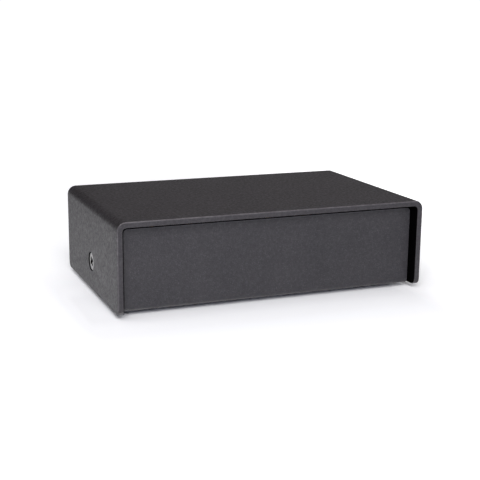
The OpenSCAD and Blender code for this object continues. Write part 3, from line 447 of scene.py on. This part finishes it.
def turned(bm, profile, place=Matrix(), steps=48, closed=False, swell=None):
    # turns (radius, height) points round Z; swell(angle, radius, height) gives a radius of its own
    rings = []
    for radius, height in profile:
        if radius < onAxis:
            rings.append([bm.verts.new(place @ Vector((0, 0, height)))])
            continue
        ring = []
        for i in range(steps):
            angle = 2 * math.pi * i / steps
            r = swell(angle, radius, height) if swell else radius
            ring.append(bm.verts.new(place @ Vector((r * math.cos(angle), r * math.sin(angle), height))))
        rings.append(ring)
    pairs = list(zip(rings, rings[1:])) + ([(rings[-1], rings[0])] if closed else [])
    for low, high in pairs:
        for i in range(steps):
            j = (i + 1) % steps
            if len(low) == 1:
                bm.faces.new((low[0], high[j], high[i]))
            elif len(high) == 1:
                bm.faces.new((low[i], low[j], high[0]))
            else:
                bm.faces.new((low[i], low[j], high[j], high[i]))


def turnedPiece(name, nodeName, profile, place, steps=48, closed=True, swell=None, smoothAngle=32):
    bm = bmesh.new()
    turned(bm, profile, place, steps, closed, swell)
    finishPiece(name, bm, [nodeName], smoothAngle)


def rim(radius, height, steps):
    # profile points given as (inwards, along) from a radius and a height
    return [(radius - inwards, height + along) for inwards, along in steps]


def corner(radius, height, size, fromAngle, steps=4):
    # points of a rounded corner of a profile, a quarter turn from fromAngle on
    return [(radius + size * math.cos(math.radians(fromAngle + 90 * i / steps)),
             height + size * math.sin(math.radians(fromAngle + 90 * i / steps))) for i in range(steps + 1)]


def slab(bm, low, high, radius=0.0, steps=2):
    # a block with rounded edges, from corner to corner; made apart, or later faces would take the places of those
    # that the bevel removes, in no fixed order
    block = bmesh.new()
    bmesh.ops.create_cube(block, size=1.0)
    low, high = Vector(low), Vector(high)
    for vert in block.verts:
        vert.co = Vector([low[i] + (vert.co[i] + 0.5) * (high[i] - low[i]) for i in range(3)])
    if radius:
        bmesh.ops.bevel(block, geom=block.edges[:], offset=radius, segments=steps, profile=0.5, affect="EDGES",
                        clamp_overlap=True)
    mesh = bpy.data.meshes.new("block")
    block.to_mesh(mesh)
    block.free()
    bm.from_mesh(mesh)
    bpy.data.meshes.remove(mesh)


def carve(bm, cutter):
    # takes the closed shapes in cutter out of bm
    shapes = []
    for source in (bm, cutter):
        bmesh.ops.recalc_face_normals(source, faces=source.faces)
        mesh = bpy.data.meshes.new("carving")
        source.to_mesh(mesh)
        source.free()
        shapes.append(bpy.data.objects.new("carving", mesh))
        scene.collection.objects.link(shapes[-1])
    whole, tool = shapes
    cut = whole.modifiers.new("cut", "BOOLEAN")
    cut.operation, cut.solver, cut.object = "DIFFERENCE", "EXACT", tool
    result = bmesh.new()
    result.from_mesh(whole.evaluated_get(bpy.context.evaluated_depsgraph_get()).to_mesh())
    for leftover in shapes:
        bpy.data.objects.remove(leftover)
    return result


# cover: near its screw holes the edges are less rounded; painted shade, a near-black coat, starts inside the sheet
coverLook = {"edge": 0.26, "steps": 3, "edgeAtHole": 0.25, "holeReach": 4.0, "sinkReach": 3.3, "wallDepth": 3.5,
             "insideFrom": 1.8, "skin": 0.05}
trayLook = {"edge": 0.22, "steps": 2}
screwPlace, _ = boxOf("cover_screws")


def fromScrewAxis(point):
    return math.hypot(point.y - screwPlace.y, point.z - screwPlace.z)


def nearCoverHole(point):
    return coverLook["edgeAtHole"] if fromScrewAxis(point) < coverLook["holeReach"] else 1.0


def insideCover(point):
    # faces under the sheet and in the countersinks, which get the near-black coat of painted shade
    depth, below = coverHalf.x - abs(point.x), coverCentre.z + coverHalf.z - point.z
    if fromScrewAxis(point) < coverLook["sinkReach"] and depth < coverLook["wallDepth"]:
        return depth > coverLook["skin"]
    betweenEnds = abs(point.y - coverCentre.y) < coverHalf.y - 2 * coverLook["skin"]
    return depth > coverLook["insideFrom"] and below > coverLook["insideFrom"] and betweenEnds


# the cover's cut front and back edges, which take the paler coat of painted highlight
def cutEdge(point):
    return abs(point.y - coverCentre.y) > coverHalf.y - coverLook["skin"]


softened("coverShell", "top_cover", coverLook["edge"], coverLook["steps"], nearCoverHole,
         [("painted_shade_coat", insideCover), ("edge_painted_highlight", cutEdge)])
softened("trayShell", "chassis_tray", trayLook["edge"], trayLook["steps"])

# foot: the dish underneath is (outwards, share of its depth) from its radius
footLook = {"edge": 0.25, "dishRadius": 2.7, "dishDepth": 0.35,
            "dishSteps": [(-0.3, 1.0), (-0.1, 0.75), (0.1, 0.2), (0.35, 0.0)],
            "topSteps": [(0.02, -0.25), (0.10, -0.08), (0.2, 0.0)]}


def makeFoot(nodeName):
    centre, half = boxOf(nodeName)
    top, r, edge, deep = 2 * half.z, half.x, footLook["edge"], footLook["dishDepth"]
    profile = [(0, deep)]
    profile += [(footLook["dishRadius"] + outwards, deep * share) for outwards, share in footLook["dishSteps"]]
    profile += corner(r - edge, edge, edge, -90) + rim(r, top, footLook["topSteps"]) + [(0, top)]
    turnedPiece(nodeName + "_pad", nodeName, profile, Matrix.Translation((centre.x, centre.y, 0)), 72, closed=False)


for nodeName in frame["nodes"]:
    if nodeName.startswith("foot_"):
        makeFoot(nodeName)
print("case and feet done")

# screws: turn is in degrees, rimSteps are (inwards, along) from the head's rim, dome is (share of its radius, depth)
fineThread = {"major": 1.475, "minor": 1.19, "pitch": 0.5, "chamfer": 0.4}
coverScrew = {"head": 6.0, "headDepth": 1.52, "length": 6.0, "sunk": 0.25, "turn": 58, "thread": fineThread,
              "rimSteps": [(0.6, 0.0), (0.16, -0.03), (0.04, -0.10), (0.0, -0.20)],
              "neck": 0.15, "threadFrom": 0.3, "recess": {"reach": 1.6, "width": 0.62, "depth": 1.5}}
boardScrew = {"head": 5.6, "headHeight": 2.1, "length": 5.0, "turn": 35, "thread": fineThread,
              "dome": [(0.45, 0.03), (0.7, 0.15), (0.88, 0.45), (0.97, 0.95), (1.0, 1.75)],
              "seat": 0.02, "seatEdge": 0.15, "threadFrom": 0.15,
              "recess": {"reach": 1.5, "width": 0.40, "depth": 1.2}}
threadRow, rowsPerTurn = 1.0, 8  # a profile's point with a radius of threadRow is a row of thread


def threadRadius(thread, angle, height, end):
    rootFlat, flank = 0.15, 0.65  # shares of half a pitch
    phase = (height / thread["pitch"] - angle / (2 * math.pi)) % 1.0
    crest = min(1.0, max(0.0, (abs(2 * phase - 1) - rootFlat) / flank))
    radius = thread["minor"] + (thread["major"] - thread["minor"]) * crest
    return min(radius, thread["major"] - thread["chamfer"] + abs(end - height))


def threadRows(thread, start, end):
    count = max(2, round(abs(end - start) / thread["pitch"] * rowsPerTurn))
    return [(threadRow, start + (end - start) * i / count) for i in range(count + 1)]


def threadSwell(thread, *ends):
    # turns a profile's rows of thread into a thread with chamfered ends
    def swell(angle, radius, height):
        if radius != threadRow:
            return radius
        return min(threadRadius(thread, angle, height, end) for end in ends)
    return swell


def crossCutter(bm, place, recess, top):
    # a cross that narrows downwards from top, as the driver's tip does
    sections = ((0.6, 1.25), (0.0, 1.0), (-0.75 * recess["depth"], 0.42))  # height over top, share of the reach
    rings = []
    for height, share in sections:
        reach, w = recess["reach"] * share, recess["width"] * (0.8 + 0.2 * share)
        outline = [(reach, -w), (reach, w), (w, w), (w, reach), (-w, reach), (-w, w),
                   (-reach, w), (-reach, -w), (-w, -w), (-w, -reach), (w, -reach), (w, -w)]
        rings.append([bm.verts.new(place @ Vector((x, y, top + height))) for x, y in outline])
    tip = bm.verts.new(place @ Vector((0, 0, top - recess["depth"])))
    bm.faces.new(rings[0])
    count = len(rings[0])
    for upper, lower in zip(rings, rings[1:]):
        for i in range(count):
            bm.faces.new((upper[i], upper[(i + 1) % count], lower[(i + 1) % count], lower[i]))
    for i in range(count):
        bm.faces.new((rings[-1][i], rings[-1][(i + 1) % count], tip))
    bmesh.ops.recalc_face_normals(bm, faces=bm.faces)


def makeCoverScrews():
    look, thread = coverScrew, coverScrew["thread"]
    headEnd, face = -look["headDepth"], coverHalf.x - look["sunk"]
    profile = [(0, 0)] + rim(look["head"] / 2, 0, look["rimSteps"])
    profile += [(thread["major"] + 0.1, headEnd), (thread["minor"], headEnd - look["neck"])]
    profile += threadRows(thread, headEnd - look["threadFrom"], -look["length"]) + [(0, -look["length"])]
    bm, cutter = bmesh.new(), bmesh.new()
    for sign, aim in ((1, alongX), (-1, againstX)):
        spin = Matrix.Rotation(math.radians(look["turn"] * sign), 4, "Z")
        place = Matrix.Translation((sign * face, screwPlace.y, screwPlace.z)) @ aim @ spin
        turned(bm, profile, place, swell=threadSwell(thread, -look["length"]))
        crossCutter(cutter, place, look["recess"], 0)

    # the cross recess takes the near-black coat: painted shade
    def inRecess(point):
        depth = face - abs(point.x)
        return 0.03 < depth < look["recess"]["depth"] + 0.01 and fromScrewAxis(point) < look["recess"]["reach"]
    finishPiece("countersunkScrews", carve(bm, cutter), ["cover_screws"], 28, [("painted_shade_coat", inRecess)])


def makeBoardScrews():
    low, high = cornersOf("board_screws")
    look, thread = boardScrew, boardScrew["thread"]
    head, top, seat = look["head"] / 2, look["headHeight"], look["seat"]
    profile = [(0, top)] + [(head * share, top - deep) for share, deep in look["dome"]]
    profile += [(head - look["seatEdge"], seat), (thread["minor"], seat)]
    profile += threadRows(thread, -look["threadFrom"], -look["length"]) + [(0, -look["length"])]
    places = [(x, y) for x in (low.x + head, high.x - head) for y in (low.y + head, high.y - head)]
    bm, cutter = bmesh.new(), bmesh.new()
    for i, (x, y) in enumerate(places):
        spin = Matrix.Rotation(math.radians(look["turn"] * (i + 1)), 4, "Z")
        place = Matrix.Translation((x, y, high.z - top)) @ spin
        turned(bm, profile, place, swell=threadSwell(thread, -look["length"]))
        crossCutter(cutter, place, look["recess"], top)
    finishPiece("panHeadScrews", carve(bm, cutter), ["board_screws"], 28)


makeCoverScrews()
makeBoardScrews()
softened("pressNuts", "press_nuts", 0.15)
softened("standoffs", "board_standoffs", 0.18)
print("screws done")

# phono jacks: the steps are (inwards, along) from the seat, the mouth or the face
shellLook = {"radius": 4.15, "bore": 3.35, "neck": 3.75, "lip": 0.40, "length": 8.0, "tailDrop": 0.15,
             "seatSteps": [(0.1, 0.0), (0.0, 0.1), (0.0, 0.9), (0.14, 1.0), (0.14, 1.35), (0.0, 1.45)],
             "mouthSteps": [(0.0, -1.5), (0.06, -1.4), (0.06, -1.1), (0.0, -1.0)],
             "boreSteps": [(-0.22, -0.03), (-0.08, -0.12), (0.0, -0.3)]}
insulatorLook = {"radius": 3.30, "mouth": 1.90, "hole": 2.15, "mouthDepth": 1.0,
                 "rimSteps": [(0.0, -0.25), (0.07, -0.07), (0.25, 0.0), (0.55, 0.0), (0.65, -0.12)],
                 "mouthSteps": [(-0.60, -0.12), (-0.50, 0.0), (-0.30, 0.0), (-0.08, -0.1), (0.0, -0.35)]}
contactLook = {"radius": 2.10, "bore": 1.625, "slit": 0.4, "slitLength": 9.0, "cutReach": 3.0, "tailDrop": 0.1,
               "rimSteps": [(0.0, -0.2), (0.1, 0.0)], "boreSteps": [(-0.12, 0.0), (0.0, -0.3)]}
tailLook = {"width": 2.0, "thickness": 0.4, "edge": 0.08}


def axisOf(nodeName, radius):
    # the axis of a turned piece whose top is a full radius over it
    low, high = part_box(nodeName)
    return (low.x + high.x) / 2 / mm, high.z / mm - radius, low.y / mm, high.y / mm


def roundY(x, z):
    # the place of a piece turned round an axis along Y
    return Matrix.Translation((x, 0, z)) @ alongY


def tailStrip(bm, nodeName, x, y, top):
    half, bottom = tailLook["width"] / 2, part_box(nodeName)[0].z / mm
    slab(bm, (x - half, y, bottom), (x + half, y + tailLook["thickness"], top), tailLook["edge"], 1)


def makeShell(pair, side):
    nodeName, look = f"{pair}_shell_{side}", shellLook
    r, bore, neck, lip = (look[key] for key in ("radius", "bore", "neck", "lip"))
    x, z, back, mouth = axisOf(nodeName, r)
    seat = mouth - look["length"]
    profile = [(neck, back), (neck, seat)] + rim(r, seat, look["seatSteps"]) + rim(r, mouth, look["mouthSteps"])
    profile += corner(r - lip, mouth - lip, lip, 0, 5) + rim(bore, mouth, look["boreSteps"]) + [(bore, back)]
    bm = bmesh.new()
    turned(bm, profile, roundY(x, z), 72, closed=True)
    tailStrip(bm, nodeName, x, back, z - bore - look["tailDrop"])
    finishPiece(nodeName + "_turned", bm, [nodeName])


def makeInsulator(pair, side):
    nodeName, look = f"{pair}_insulator_{side}", insulatorLook
    r, mouth, hole = look["radius"], look["mouth"], look["hole"]
    x, z, back, face = axisOf(nodeName, r)
    floor = face - look["mouthDepth"]
    profile = [(r, back)] + rim(r, face, look["rimSteps"]) + rim(mouth, face, look["mouthSteps"])
    profile += [(mouth, floor), (hole, floor), (hole, back)]
    turnedPiece(nodeName + "_moulded", nodeName, profile, roundY(x, z), 64)


def makeContact(pair, side):
    nodeName, look = f"{pair}_contact_{side}", contactLook
    r, bore = look["radius"], look["bore"]
    x, z, back, face = axisOf(nodeName, r)
    profile = [(r, back)] + rim(r, face, look["rimSteps"]) + rim(bore, face, look["boreSteps"]) + [(bore, back)]
    bm = bmesh.new()
    turned(bm, profile, roundY(x, z), closed=True)
    start, end, reach, half = face - look["slitLength"], face + 1, look["cutReach"], look["slit"] / 2
    for across, upright in ((reach, half), (half, reach)):
        cutter = bmesh.new()
        slab(cutter, (x - across, start, z - upright), (x + across, end, z + upright))
        bm = carve(bm, cutter)
    tailStrip(bm, nodeName, x, back, z - bore - look["tailDrop"])
    finishPiece(nodeName + "_slotted", bm, [nodeName])


for pair in bothPairs:
    softened(pair + "JackBlock", pair + "_jack_block", 0.22)
    for side in bothSides:
        makeShell(pair, side)
        makeInsulator(pair, side)
        makeContact(pair, side)
print("phono jacks done")

pinLook = {"radius": 1.05, "neck": 0.8, "length": 8.5, "axisHeight": 15.8, "tipFlat": 0.45,
           "tipSteps": [(0.0, -0.75), (0.06, -0.45), (0.20, -0.2), (0.42, -0.05)]}


def makePowerPin():
    z, r, neck = pinLook["axisHeight"], pinLook["radius"], pinLook["neck"]
    x, _, back, tip = axisOf("power_jack_pin", r)
    shoulder = tip - pinLook["length"]
    profile = [(0, back), (neck, back), (neck, shoulder), (r, shoulder)] + rim(r, tip, pinLook["tipSteps"])
    profile += [(r * pinLook["tipFlat"], tip), (0, tip)]
    bm = bmesh.new()
    turned(bm, profile, roundY(x, z), 40)
    tailStrip(bm, "power_jack_pin", x, back, z)
    finishPiece("powerPin", bm, ["power_jack_pin"])


softened("powerJackBody", "power_jack_body", 0.2)
makePowerPin()
softened("powerJackSpring", "power_jack_spring", 0.06, 1)
print("power jack done")

# ground terminal, from the post to the thumb nut
postLook = {"thread": {"major": 1.95, "minor": 1.56, "pitch": 0.7, "chamfer": 0.5}, "threadGap": 0.1,
            "collar": 4.0, "collarLength": 1.5, "collarBack": [(0.15, 0.0), (0.0, 0.15)],
            "collarFront": [(0.0, -0.2), (0.06, -0.06), (0.2, 0.0)]}
bushingLook = {"sleeve": 3.0, "flange": 4.5, "flangeLength": 1.2, "bore": 1.98, "edge": 0.3,
               "flangeBack": [(0.1, 0.0), (0.0, 0.1)], "boreFront": [(-0.15, 0.0), (0.0, -0.15)]}
washerLook = {"radius": 4.0, "bore": 2.15, "edge": 0.16, "boreEdge": 0.12}
nutLook = {"radius": 4.5, "bore": 2.0, "boreEdge": 0.25, "grooves": 24, "grooveDepth": 0.36, "grooveWidth": 0.40,
           "stepsPerGroove": 10, "knurlReach": 0.6, "shoulder": [(0.50, 0.0), (0.20, 0.28), (0.03, 0.55), (0.0, 0.8)],
           "dishOuter": [(0.85, 0.0), (1.05, -0.16)], "dishInner": [(-0.75, -0.16), (-0.55, 0.0), (-0.25, 0.0)]}
groundPlace = roundY(groundCentre.x, groundCentre.z)


def spanY(nodeName):
    low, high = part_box(nodeName)
    return low.y / mm, high.y / mm


def makePost():
    start, end = spanY("ground_post")
    collarStart = spanY("ground_bushing")[1]
    collarEnd = collarStart + postLook["collarLength"]
    r, thread, gap = postLook["collar"], postLook["thread"], postLook["threadGap"]
    profile = [(0, start)] + threadRows(thread, start, collarStart - gap) + [(thread["minor"], collarStart)]
    profile += rim(r, collarStart, postLook["collarBack"]) + rim(r, collarEnd, postLook["collarFront"])
    profile += [(thread["minor"], collarEnd)] + threadRows(thread, collarEnd + gap, end) + [(0, end)]
    turnedPiece("threadedPost", "ground_post", profile, groundPlace, closed=False,
                swell=threadSwell(thread, end, start), smoothAngle=40)


def makeBushing():
    back, front = spanY("ground_bushing")
    sleeve, flange, bore, edge = (bushingLook[key] for key in ("sleeve", "flange", "bore", "edge"))
    step = front - bushingLook["flangeLength"]
    profile = [(sleeve, back), (sleeve, step)] + rim(flange, step, bushingLook["flangeBack"])
    profile += corner(flange - edge, front - edge, edge, 0) + rim(bore, front, bushingLook["boreFront"])
    turnedPiece("insulatingBushing", "ground_bushing", profile + [(bore, back)], groundPlace, 64)


def makeWasher():
    back, front = spanY("ground_washer")
    r, bore, edge, boreEdge = (washerLook[key] for key in ("radius", "bore", "edge", "boreEdge"))
    profile = [(bore, back)] + corner(r - edge, back + edge, edge, -90, 3) + corner(r - edge, front - edge, edge, 0, 3)
    profile += [(bore + boreEdge, front), (bore, front - boreEdge)]
    turnedPiece("looseWasher", "ground_washer", profile, groundPlace, 64)


def makeThumbNut():
    back, front = spanY("ground_thumb_nut")
    look, r, bore, edge = nutLook, nutLook["radius"], nutLook["bore"], nutLook["boreEdge"]
    shoulder, height = look["shoulder"], look["shoulder"][-1][1]
    profile = [(bore + edge, back)] + rim(r, back, shoulder)
    profile += [(r, back + height + (front - back - 2 * height) * i / 4) for i in range(1, 4)]
    profile += [(r - inwards, front - along) for inwards, along in reversed(shoulder)]
    profile += rim(r, front, look["dishOuter"]) + rim(bore, front, look["dishInner"])
    profile += [(bore, front - edge), (bore, back + edge)]

    def swell(angle, radius, height):  # the knurl
        if radius < r - look["knurlReach"]:
            return radius
        turn = (angle * look["grooves"] / (2 * math.pi) + 0.5) % 1.0 - 0.5
        away = abs(turn) * 2 * math.pi * r / look["grooves"]
        return min(radius, r - look["grooveDepth"] * max(0.0, 1 - away / look["grooveWidth"]))
    turnedPiece("knurledThumbNut", "ground_thumb_nut", profile, groundPlace,
                look["grooves"] * look["stepsPerGroove"], swell=swell, smoothAngle=40)


makePost()
makeBushing()
makeWasher()
makeThumbNut()
softened("groundLug", "ground_lug", 0.1)
softened("groundLockNut", "ground_lock_nut", 0.25)
softened("innerWasher", "ground_inner_washer", 0.15)
print("ground terminal done")

# slider: a flat carriage, the knob on it, and the knob's ridges, in depths from the carriage's back
sliderLook = {"carriage": 4.0, "carriageEdge": 0.2, "halfKnob": 1.75, "knobFrom": 3.5, "knobShrink": 0.2,
              "knobEdge": 0.28, "ridges": 4, "ridgeHeight": 0.35, "ridgeWidth": 0.46, "ridgeDepth": 1.0,
              "ridgeEdge": 0.15}


def makeSlider():
    low, high = cornersOf("gain_switch_slider")
    look, middle, halfKnob = sliderLook, (low.x + high.x) / 2, sliderLook["halfKnob"]
    knobLow, knobHigh, edge = low.z + look["knobShrink"], high.z - look["knobShrink"], look["ridgeEdge"]
    bm = bmesh.new()
    slab(bm, low, (high.x, low.y + look["carriage"], high.z), look["carriageEdge"])
    slab(bm, (middle - halfKnob, low.y + look["knobFrom"], knobLow),
         (middle + halfKnob, high.y - look["ridgeHeight"], knobHigh), look["knobEdge"], 3)
    gap = 2 * halfKnob / look["ridges"]
    for i in range(look["ridges"]):
        x, w = middle - halfKnob + gap * (i + 0.5), look["ridgeWidth"] / 2
        slab(bm, (x - w, high.y - look["ridgeDepth"], knobLow + edge), (x + w, high.y, knobHigh - edge), edge, 2)
    finishPiece("sliderKnob", bm, ["gain_switch_slider"])


softened("switchFrame", "gain_switch_frame", 0.1)
softened("switchBase", "gain_switch_base", 0.1)
softened("switchTerminals", "gain_switch_terminals", 0.12)
softened("switchWiper", "gain_switch_wiper", 0.08)
makeSlider()
print("gain switch done")

# parts on the board; body is the half length of a moulded body, past which its leads are metal
canLook = {"base": 1.2, "baseEdge": 0.25, "intoBase": 0.1, "band": 1.0, "groove": 0.3, "shoulder": 0.45,
           "shoulderFrom": 0.6, "lid": (0.62, 0.60, 0.03),  # two shares of the radius and a depth
           "grooveSteps": [(0.0, -0.25), (0.6, 0.0), (1.0, 0.3)],  # (share of its depth, along) from either end
           "vent": {"depth": 0.10, "half": 0.12, "reach": 0.7}, "markFrom": 0.45}
filmLook = {"edge": 0.45, "lead": 0.30, "pitch": 5.0, "leadTop": 0.6, "leadTip": 0.12}
coilLook = {"foot": 0.8, "footEdge": 0.3, "drum": 3.35, "winding": 2.75, "turns": 12, "wire": 0.09,
            "lower": 0.6, "upper": 0.75, "drumEdge": 0.1, "topEdge": 0.2}
resistorLook = {"edge": 0.08, "ends": 0.5}
chipLook = {"edge": 0.05, "body": 1.96}
diodeLook = {"edge": 0.1, "body": 2.21}


def makeCan(nodeName):
    centre, half = boxOf(nodeName)
    look, floorZ, width = canLook, centre.z - half.z, half.x
    base, band, groove, edge, vent = (look[key] for key in ("base", "band", "groove", "shoulder", "vent"))
    r, height, neck = width - groove / 2, 2 * half.z, base + band
    place = Matrix.Translation((centre.x, centre.y, floorZ))
    lidOuter, lidInner, lidDepth = look["lid"]
    profile = [(0, base - look["intoBase"]), (r, base - look["intoBase"])]
    profile += [(r - groove * share, neck + along) for share, along in look["grooveSteps"]]
    profile += [(r - groove * share, neck + band - along) for share, along in reversed(look["grooveSteps"])]
    profile += [(r, height - look["shoulderFrom"])] + corner(r - edge, height - edge, edge, 0)
    profile += [(r * lidOuter, height), (r * lidInner, height - lidDepth), (0, height - lidDepth)]
    bm = bmesh.new()
    turned(bm, profile, place, 64)
    for turn in (45, -45):  # the cross that lets a can vent
        tool, reach = bmesh.new(), r * vent["reach"]
        slab(tool, (-reach, -vent["half"], height - vent["depth"]), (reach, vent["half"], height + 1))
        bmesh.ops.transform(tool, verts=tool.verts, matrix=place @ Matrix.Rotation(math.radians(turn), 4, "Z"))
        bm = carve(bm, tool)
    slab(bm, (centre.x - width, centre.y - width, floorZ), (centre.x + width, centre.y + width, floorZ + base),
         look["baseEdge"])

    def darkPart(point):  # the moulded base and the polarity mark on top
        if point.z < floorZ + base - 0.05:
            return True
        return point.z > floorZ + height - 0.06 and point.x - centre.x < -r * look["markFrom"]
    finishPiece(nodeName + "_can", bm, [nodeName], others=[("chip_epoxy", darkPart)])


def makeFilmCapacitor(nodeName):
    low, high = cornersOf(nodeName)
    middle, lead, boardTop = (low + high) / 2, filmLook["lead"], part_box("circuit_board")[1].z / mm
    leadTop = boardTop + filmLook["leadTop"]
    profile = [(0, low.z), (lead * 0.7, low.z), (lead, low.z + filmLook["leadTip"]), (lead, leadTop), (0, leadTop)]
    bm = bmesh.new()
    slab(bm, (low.x, low.y, boardTop), high, filmLook["edge"], 3)
    for sign in (-1, 1):
        turned(bm, profile, Matrix.Translation((middle.x + sign * filmLook["pitch"] / 2, middle.y, 0)), 20)
    finishPiece(nodeName + "_box", bm, [nodeName], others=[("nickel", lambda point: point.z < boardTop - 0.01)])


def makeInductor():
    centre, half = boxOf("inductor")
    look, floorZ, height = coilLook, centre.z - half.z, 2 * half.z
    foot, drum, winding, edge = (look[key] for key in ("foot", "drum", "winding", "drumEdge"))
    bottom, top, turns = foot + look["lower"], height - look["upper"], look["turns"]
    bm = bmesh.new()
    slab(bm, (centre.x - half.x, centre.y - half.y, floorZ), (centre.x + half.x, centre.y + half.y, floorZ + foot),
         look["footEdge"])
    profile = [(0, foot - edge), (drum, foot - edge), (drum, bottom - edge), (drum - edge, bottom), (winding, bottom)]
    for i in range(turns):
        low, high = bottom + (top - bottom) * i / turns, bottom + (top - bottom) * (i + 1) / turns
        profile += [(winding + look["wire"], (low + high) / 2), (winding, high)]
    profile += [(drum - edge, top), (drum, top + edge), (drum, height - look["topEdge"])]
    profile += [(drum - look["topEdge"], height), (0, height)]
    turned(bm, profile, Matrix.Translation((centre.x, centre.y, floorZ)), 56)

    def wound(point):
        away = math.hypot(point.x - centre.x, point.y - centre.y)
        return away < winding + 0.15 and bottom + 0.01 < point.z - floorZ < top - 0.01
    finishPiece("woundInductor", bm, ["inductor"], others=[("spring_brass", wound)])


def metalEnds(nodeName, axis, body):
    # metal where a part reaches past its body along one axis
    centre, _ = boxOf(nodeName)
    return [("nickel", lambda point: abs(point[axis] - centre[axis]) > body)]


def makeResistor(nodeName):
    low, high = cornersOf(nodeName)
    ends = resistorLook["ends"]
    bm = bmesh.new()
    slab(bm, low, high, resistorLook["edge"], 2)
    for y in (low.y + ends, high.y - ends):
        everything = bm.verts[:] + bm.edges[:] + bm.faces[:]
        bmesh.ops.bisect_plane(bm, geom=everything, plane_co=(0, y, 0), plane_no=(0, 1, 0))
    finishPiece(nodeName + "_chip", bm, [nodeName], others=metalEnds(nodeName, 1, (high.y - low.y) / 2 - ends))


softened("circuitBoard", "circuit_board", 0.06, 1)
for side in bothSides:
    chip = f"amplifier_chip_{side}"
    softened(chip + "_package", chip, chipLook["edge"], 1, others=metalEnds(chip, 0, chipLook["body"]))
    makeCan(f"coupling_capacitor_{side}")
    for i in (1, 2):
        makeFilmCapacitor(f"film_capacitor_{side}_{i}")
        makeResistor(f"resistor_{side}_{i}")
for i in (1, 2):
    makeCan(f"supply_capacitor_{i}")
makeInductor()
softened("regulatorPackage", "voltage_regulator", 0.12, 1)
softened("diodePackage", "input_diode", diodeLook["edge"], 1, others=metalEnds("input_diode", 0, diodeLook["body"]))
print("circuit board done")

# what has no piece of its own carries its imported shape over
for nodeName, node in frame["nodes"].items():
    if not node.hide_render:
        node.data.materials.clear()
        node.data.materials.append(materials[slotOf[nodeName]])

# floor: ownLight and ownShade are the shares of glow and colour that reach the case, shade is the box in millimetres
# where it doesn't glow, and each glow has its start, end and level
floorSetup = {
    "radius": 2.5, "colour": (0.885, 0.913, 0.918), "roughness": 0.45, "ownLight": 0.13, "ownShade": 0.94,
    "shade": {"middle": (-8.0, -22.0, 0.0), "half": (53.0, 10.7, 50.0), "stretch": (5.0, 1.0, 1.0)},
    "glow": [(2.0, 10.0, 0.055), (18.0, 60.0, 0.165), (36.0, 460.0, 0.36), (200.0, 1500.0, 0.80)],
}
backdrop = {"onTheCase": 0.005, "seen": 1.05}


def dimmed(colour, share):
    return tuple(channel * share for channel in colour)


def paleFloor(setup):
    material, tree, shader, position = startMaterial("paleFloor", Roughness=setup["roughness"], Emission_Strength=1.0)
    seen = addNode(tree, "ShaderNodeLightPath").outputs["Is Camera Ray"]
    colour = setup["colour"]
    clouded = blendColour(tree, noise(tree, position, 0.01, 2.0), colour, dimmed(colour, 0.99))
    feed(tree, shader.inputs["Base Color"], blendColour(tree, seen, dimmed(colour, setup["ownShade"]), clouded))
    shade = setup["shade"]
    away = calcVector(tree, "ABSOLUTE", calcVector(tree, "SUBTRACT", position, shade["middle"]))
    away = calcVector(tree, "MAXIMUM", calcVector(tree, "SUBTRACT", away, shade["half"]), (0.0, 0.0, 0.0))
    distance = calcVector(tree, "LENGTH", calcVector(tree, "MULTIPLY", away, shade["stretch"]), result="Value")
    glow = 0.0
    for start, end, level in setup["glow"]:
        glow = calc(tree, "ADD", glow, remap(tree, distance, start, end, 0.0, level))
    glow = calc(tree, "MULTIPLY", glow, remap(tree, seen, 0.0, 1.0, setup["ownLight"], 1.0))
    feed(tree, shader.inputs["Emission Color"], blendColour(tree, glow, (0.0, 0.0, 0.0), (1.0, 1.0, 1.0)))
    below = addNode(tree, "ShaderNodeNewGeometry").outputs["Backfacing"]
    clear = addNode(tree, "ShaderNodeBsdfTransparent").outputs[0]
    oneWay = inOrder(tree, addNode(tree, "ShaderNodeMixShader"), below, shader.outputs[0], clear)
    feed(tree, tree.nodes["Material Output"].inputs["Surface"], oneWay[0])  # clear from below, to show the underside
    return material


def makeFloor(setup):
    bm = bmesh.new()
    bmesh.ops.create_circle(bm, cap_ends=True, segments=96, radius=setup["radius"])
    mesh = bpy.data.meshes.new("studioFloor")
    bm.to_mesh(mesh)
    bm.free()
    mesh.materials.append(paleFloor(setup))
    floor = bpy.data.objects.new("studioFloor", mesh)
    scene.collection.objects.link(floor)
    floorAlone = bpy.data.collections.new("floorAlone")  # what the light below leaves out
    floorAlone.objects.link(floor)
    floorAlone.collection_objects[0].light_linking.link_state = "EXCLUDE"
    return floorAlone


def makeBackdrop(setup):
    world = bpy.data.worlds.new("studioWorld")
    scene.world = world
    world.use_nodes = True
    tree = world.node_tree
    background = tree.nodes["Background"]
    seen = addNode(tree, "ShaderNodeLightPath").outputs["Is Camera Ray"]
    strength = remap(tree, seen, 0.0, 1.0, setup["onTheCase"], setup["seen"])
    byName(tree, background, Color=(1.0, 1.0, 1.0, 1.0), Strength=strength)


floorAlone = makeFloor(floorSetup)
makeBackdrop(backdrop)
makeCamera(cameraSetup)
makeLights(lightSetup, floorAlone)
print("camera and light done")
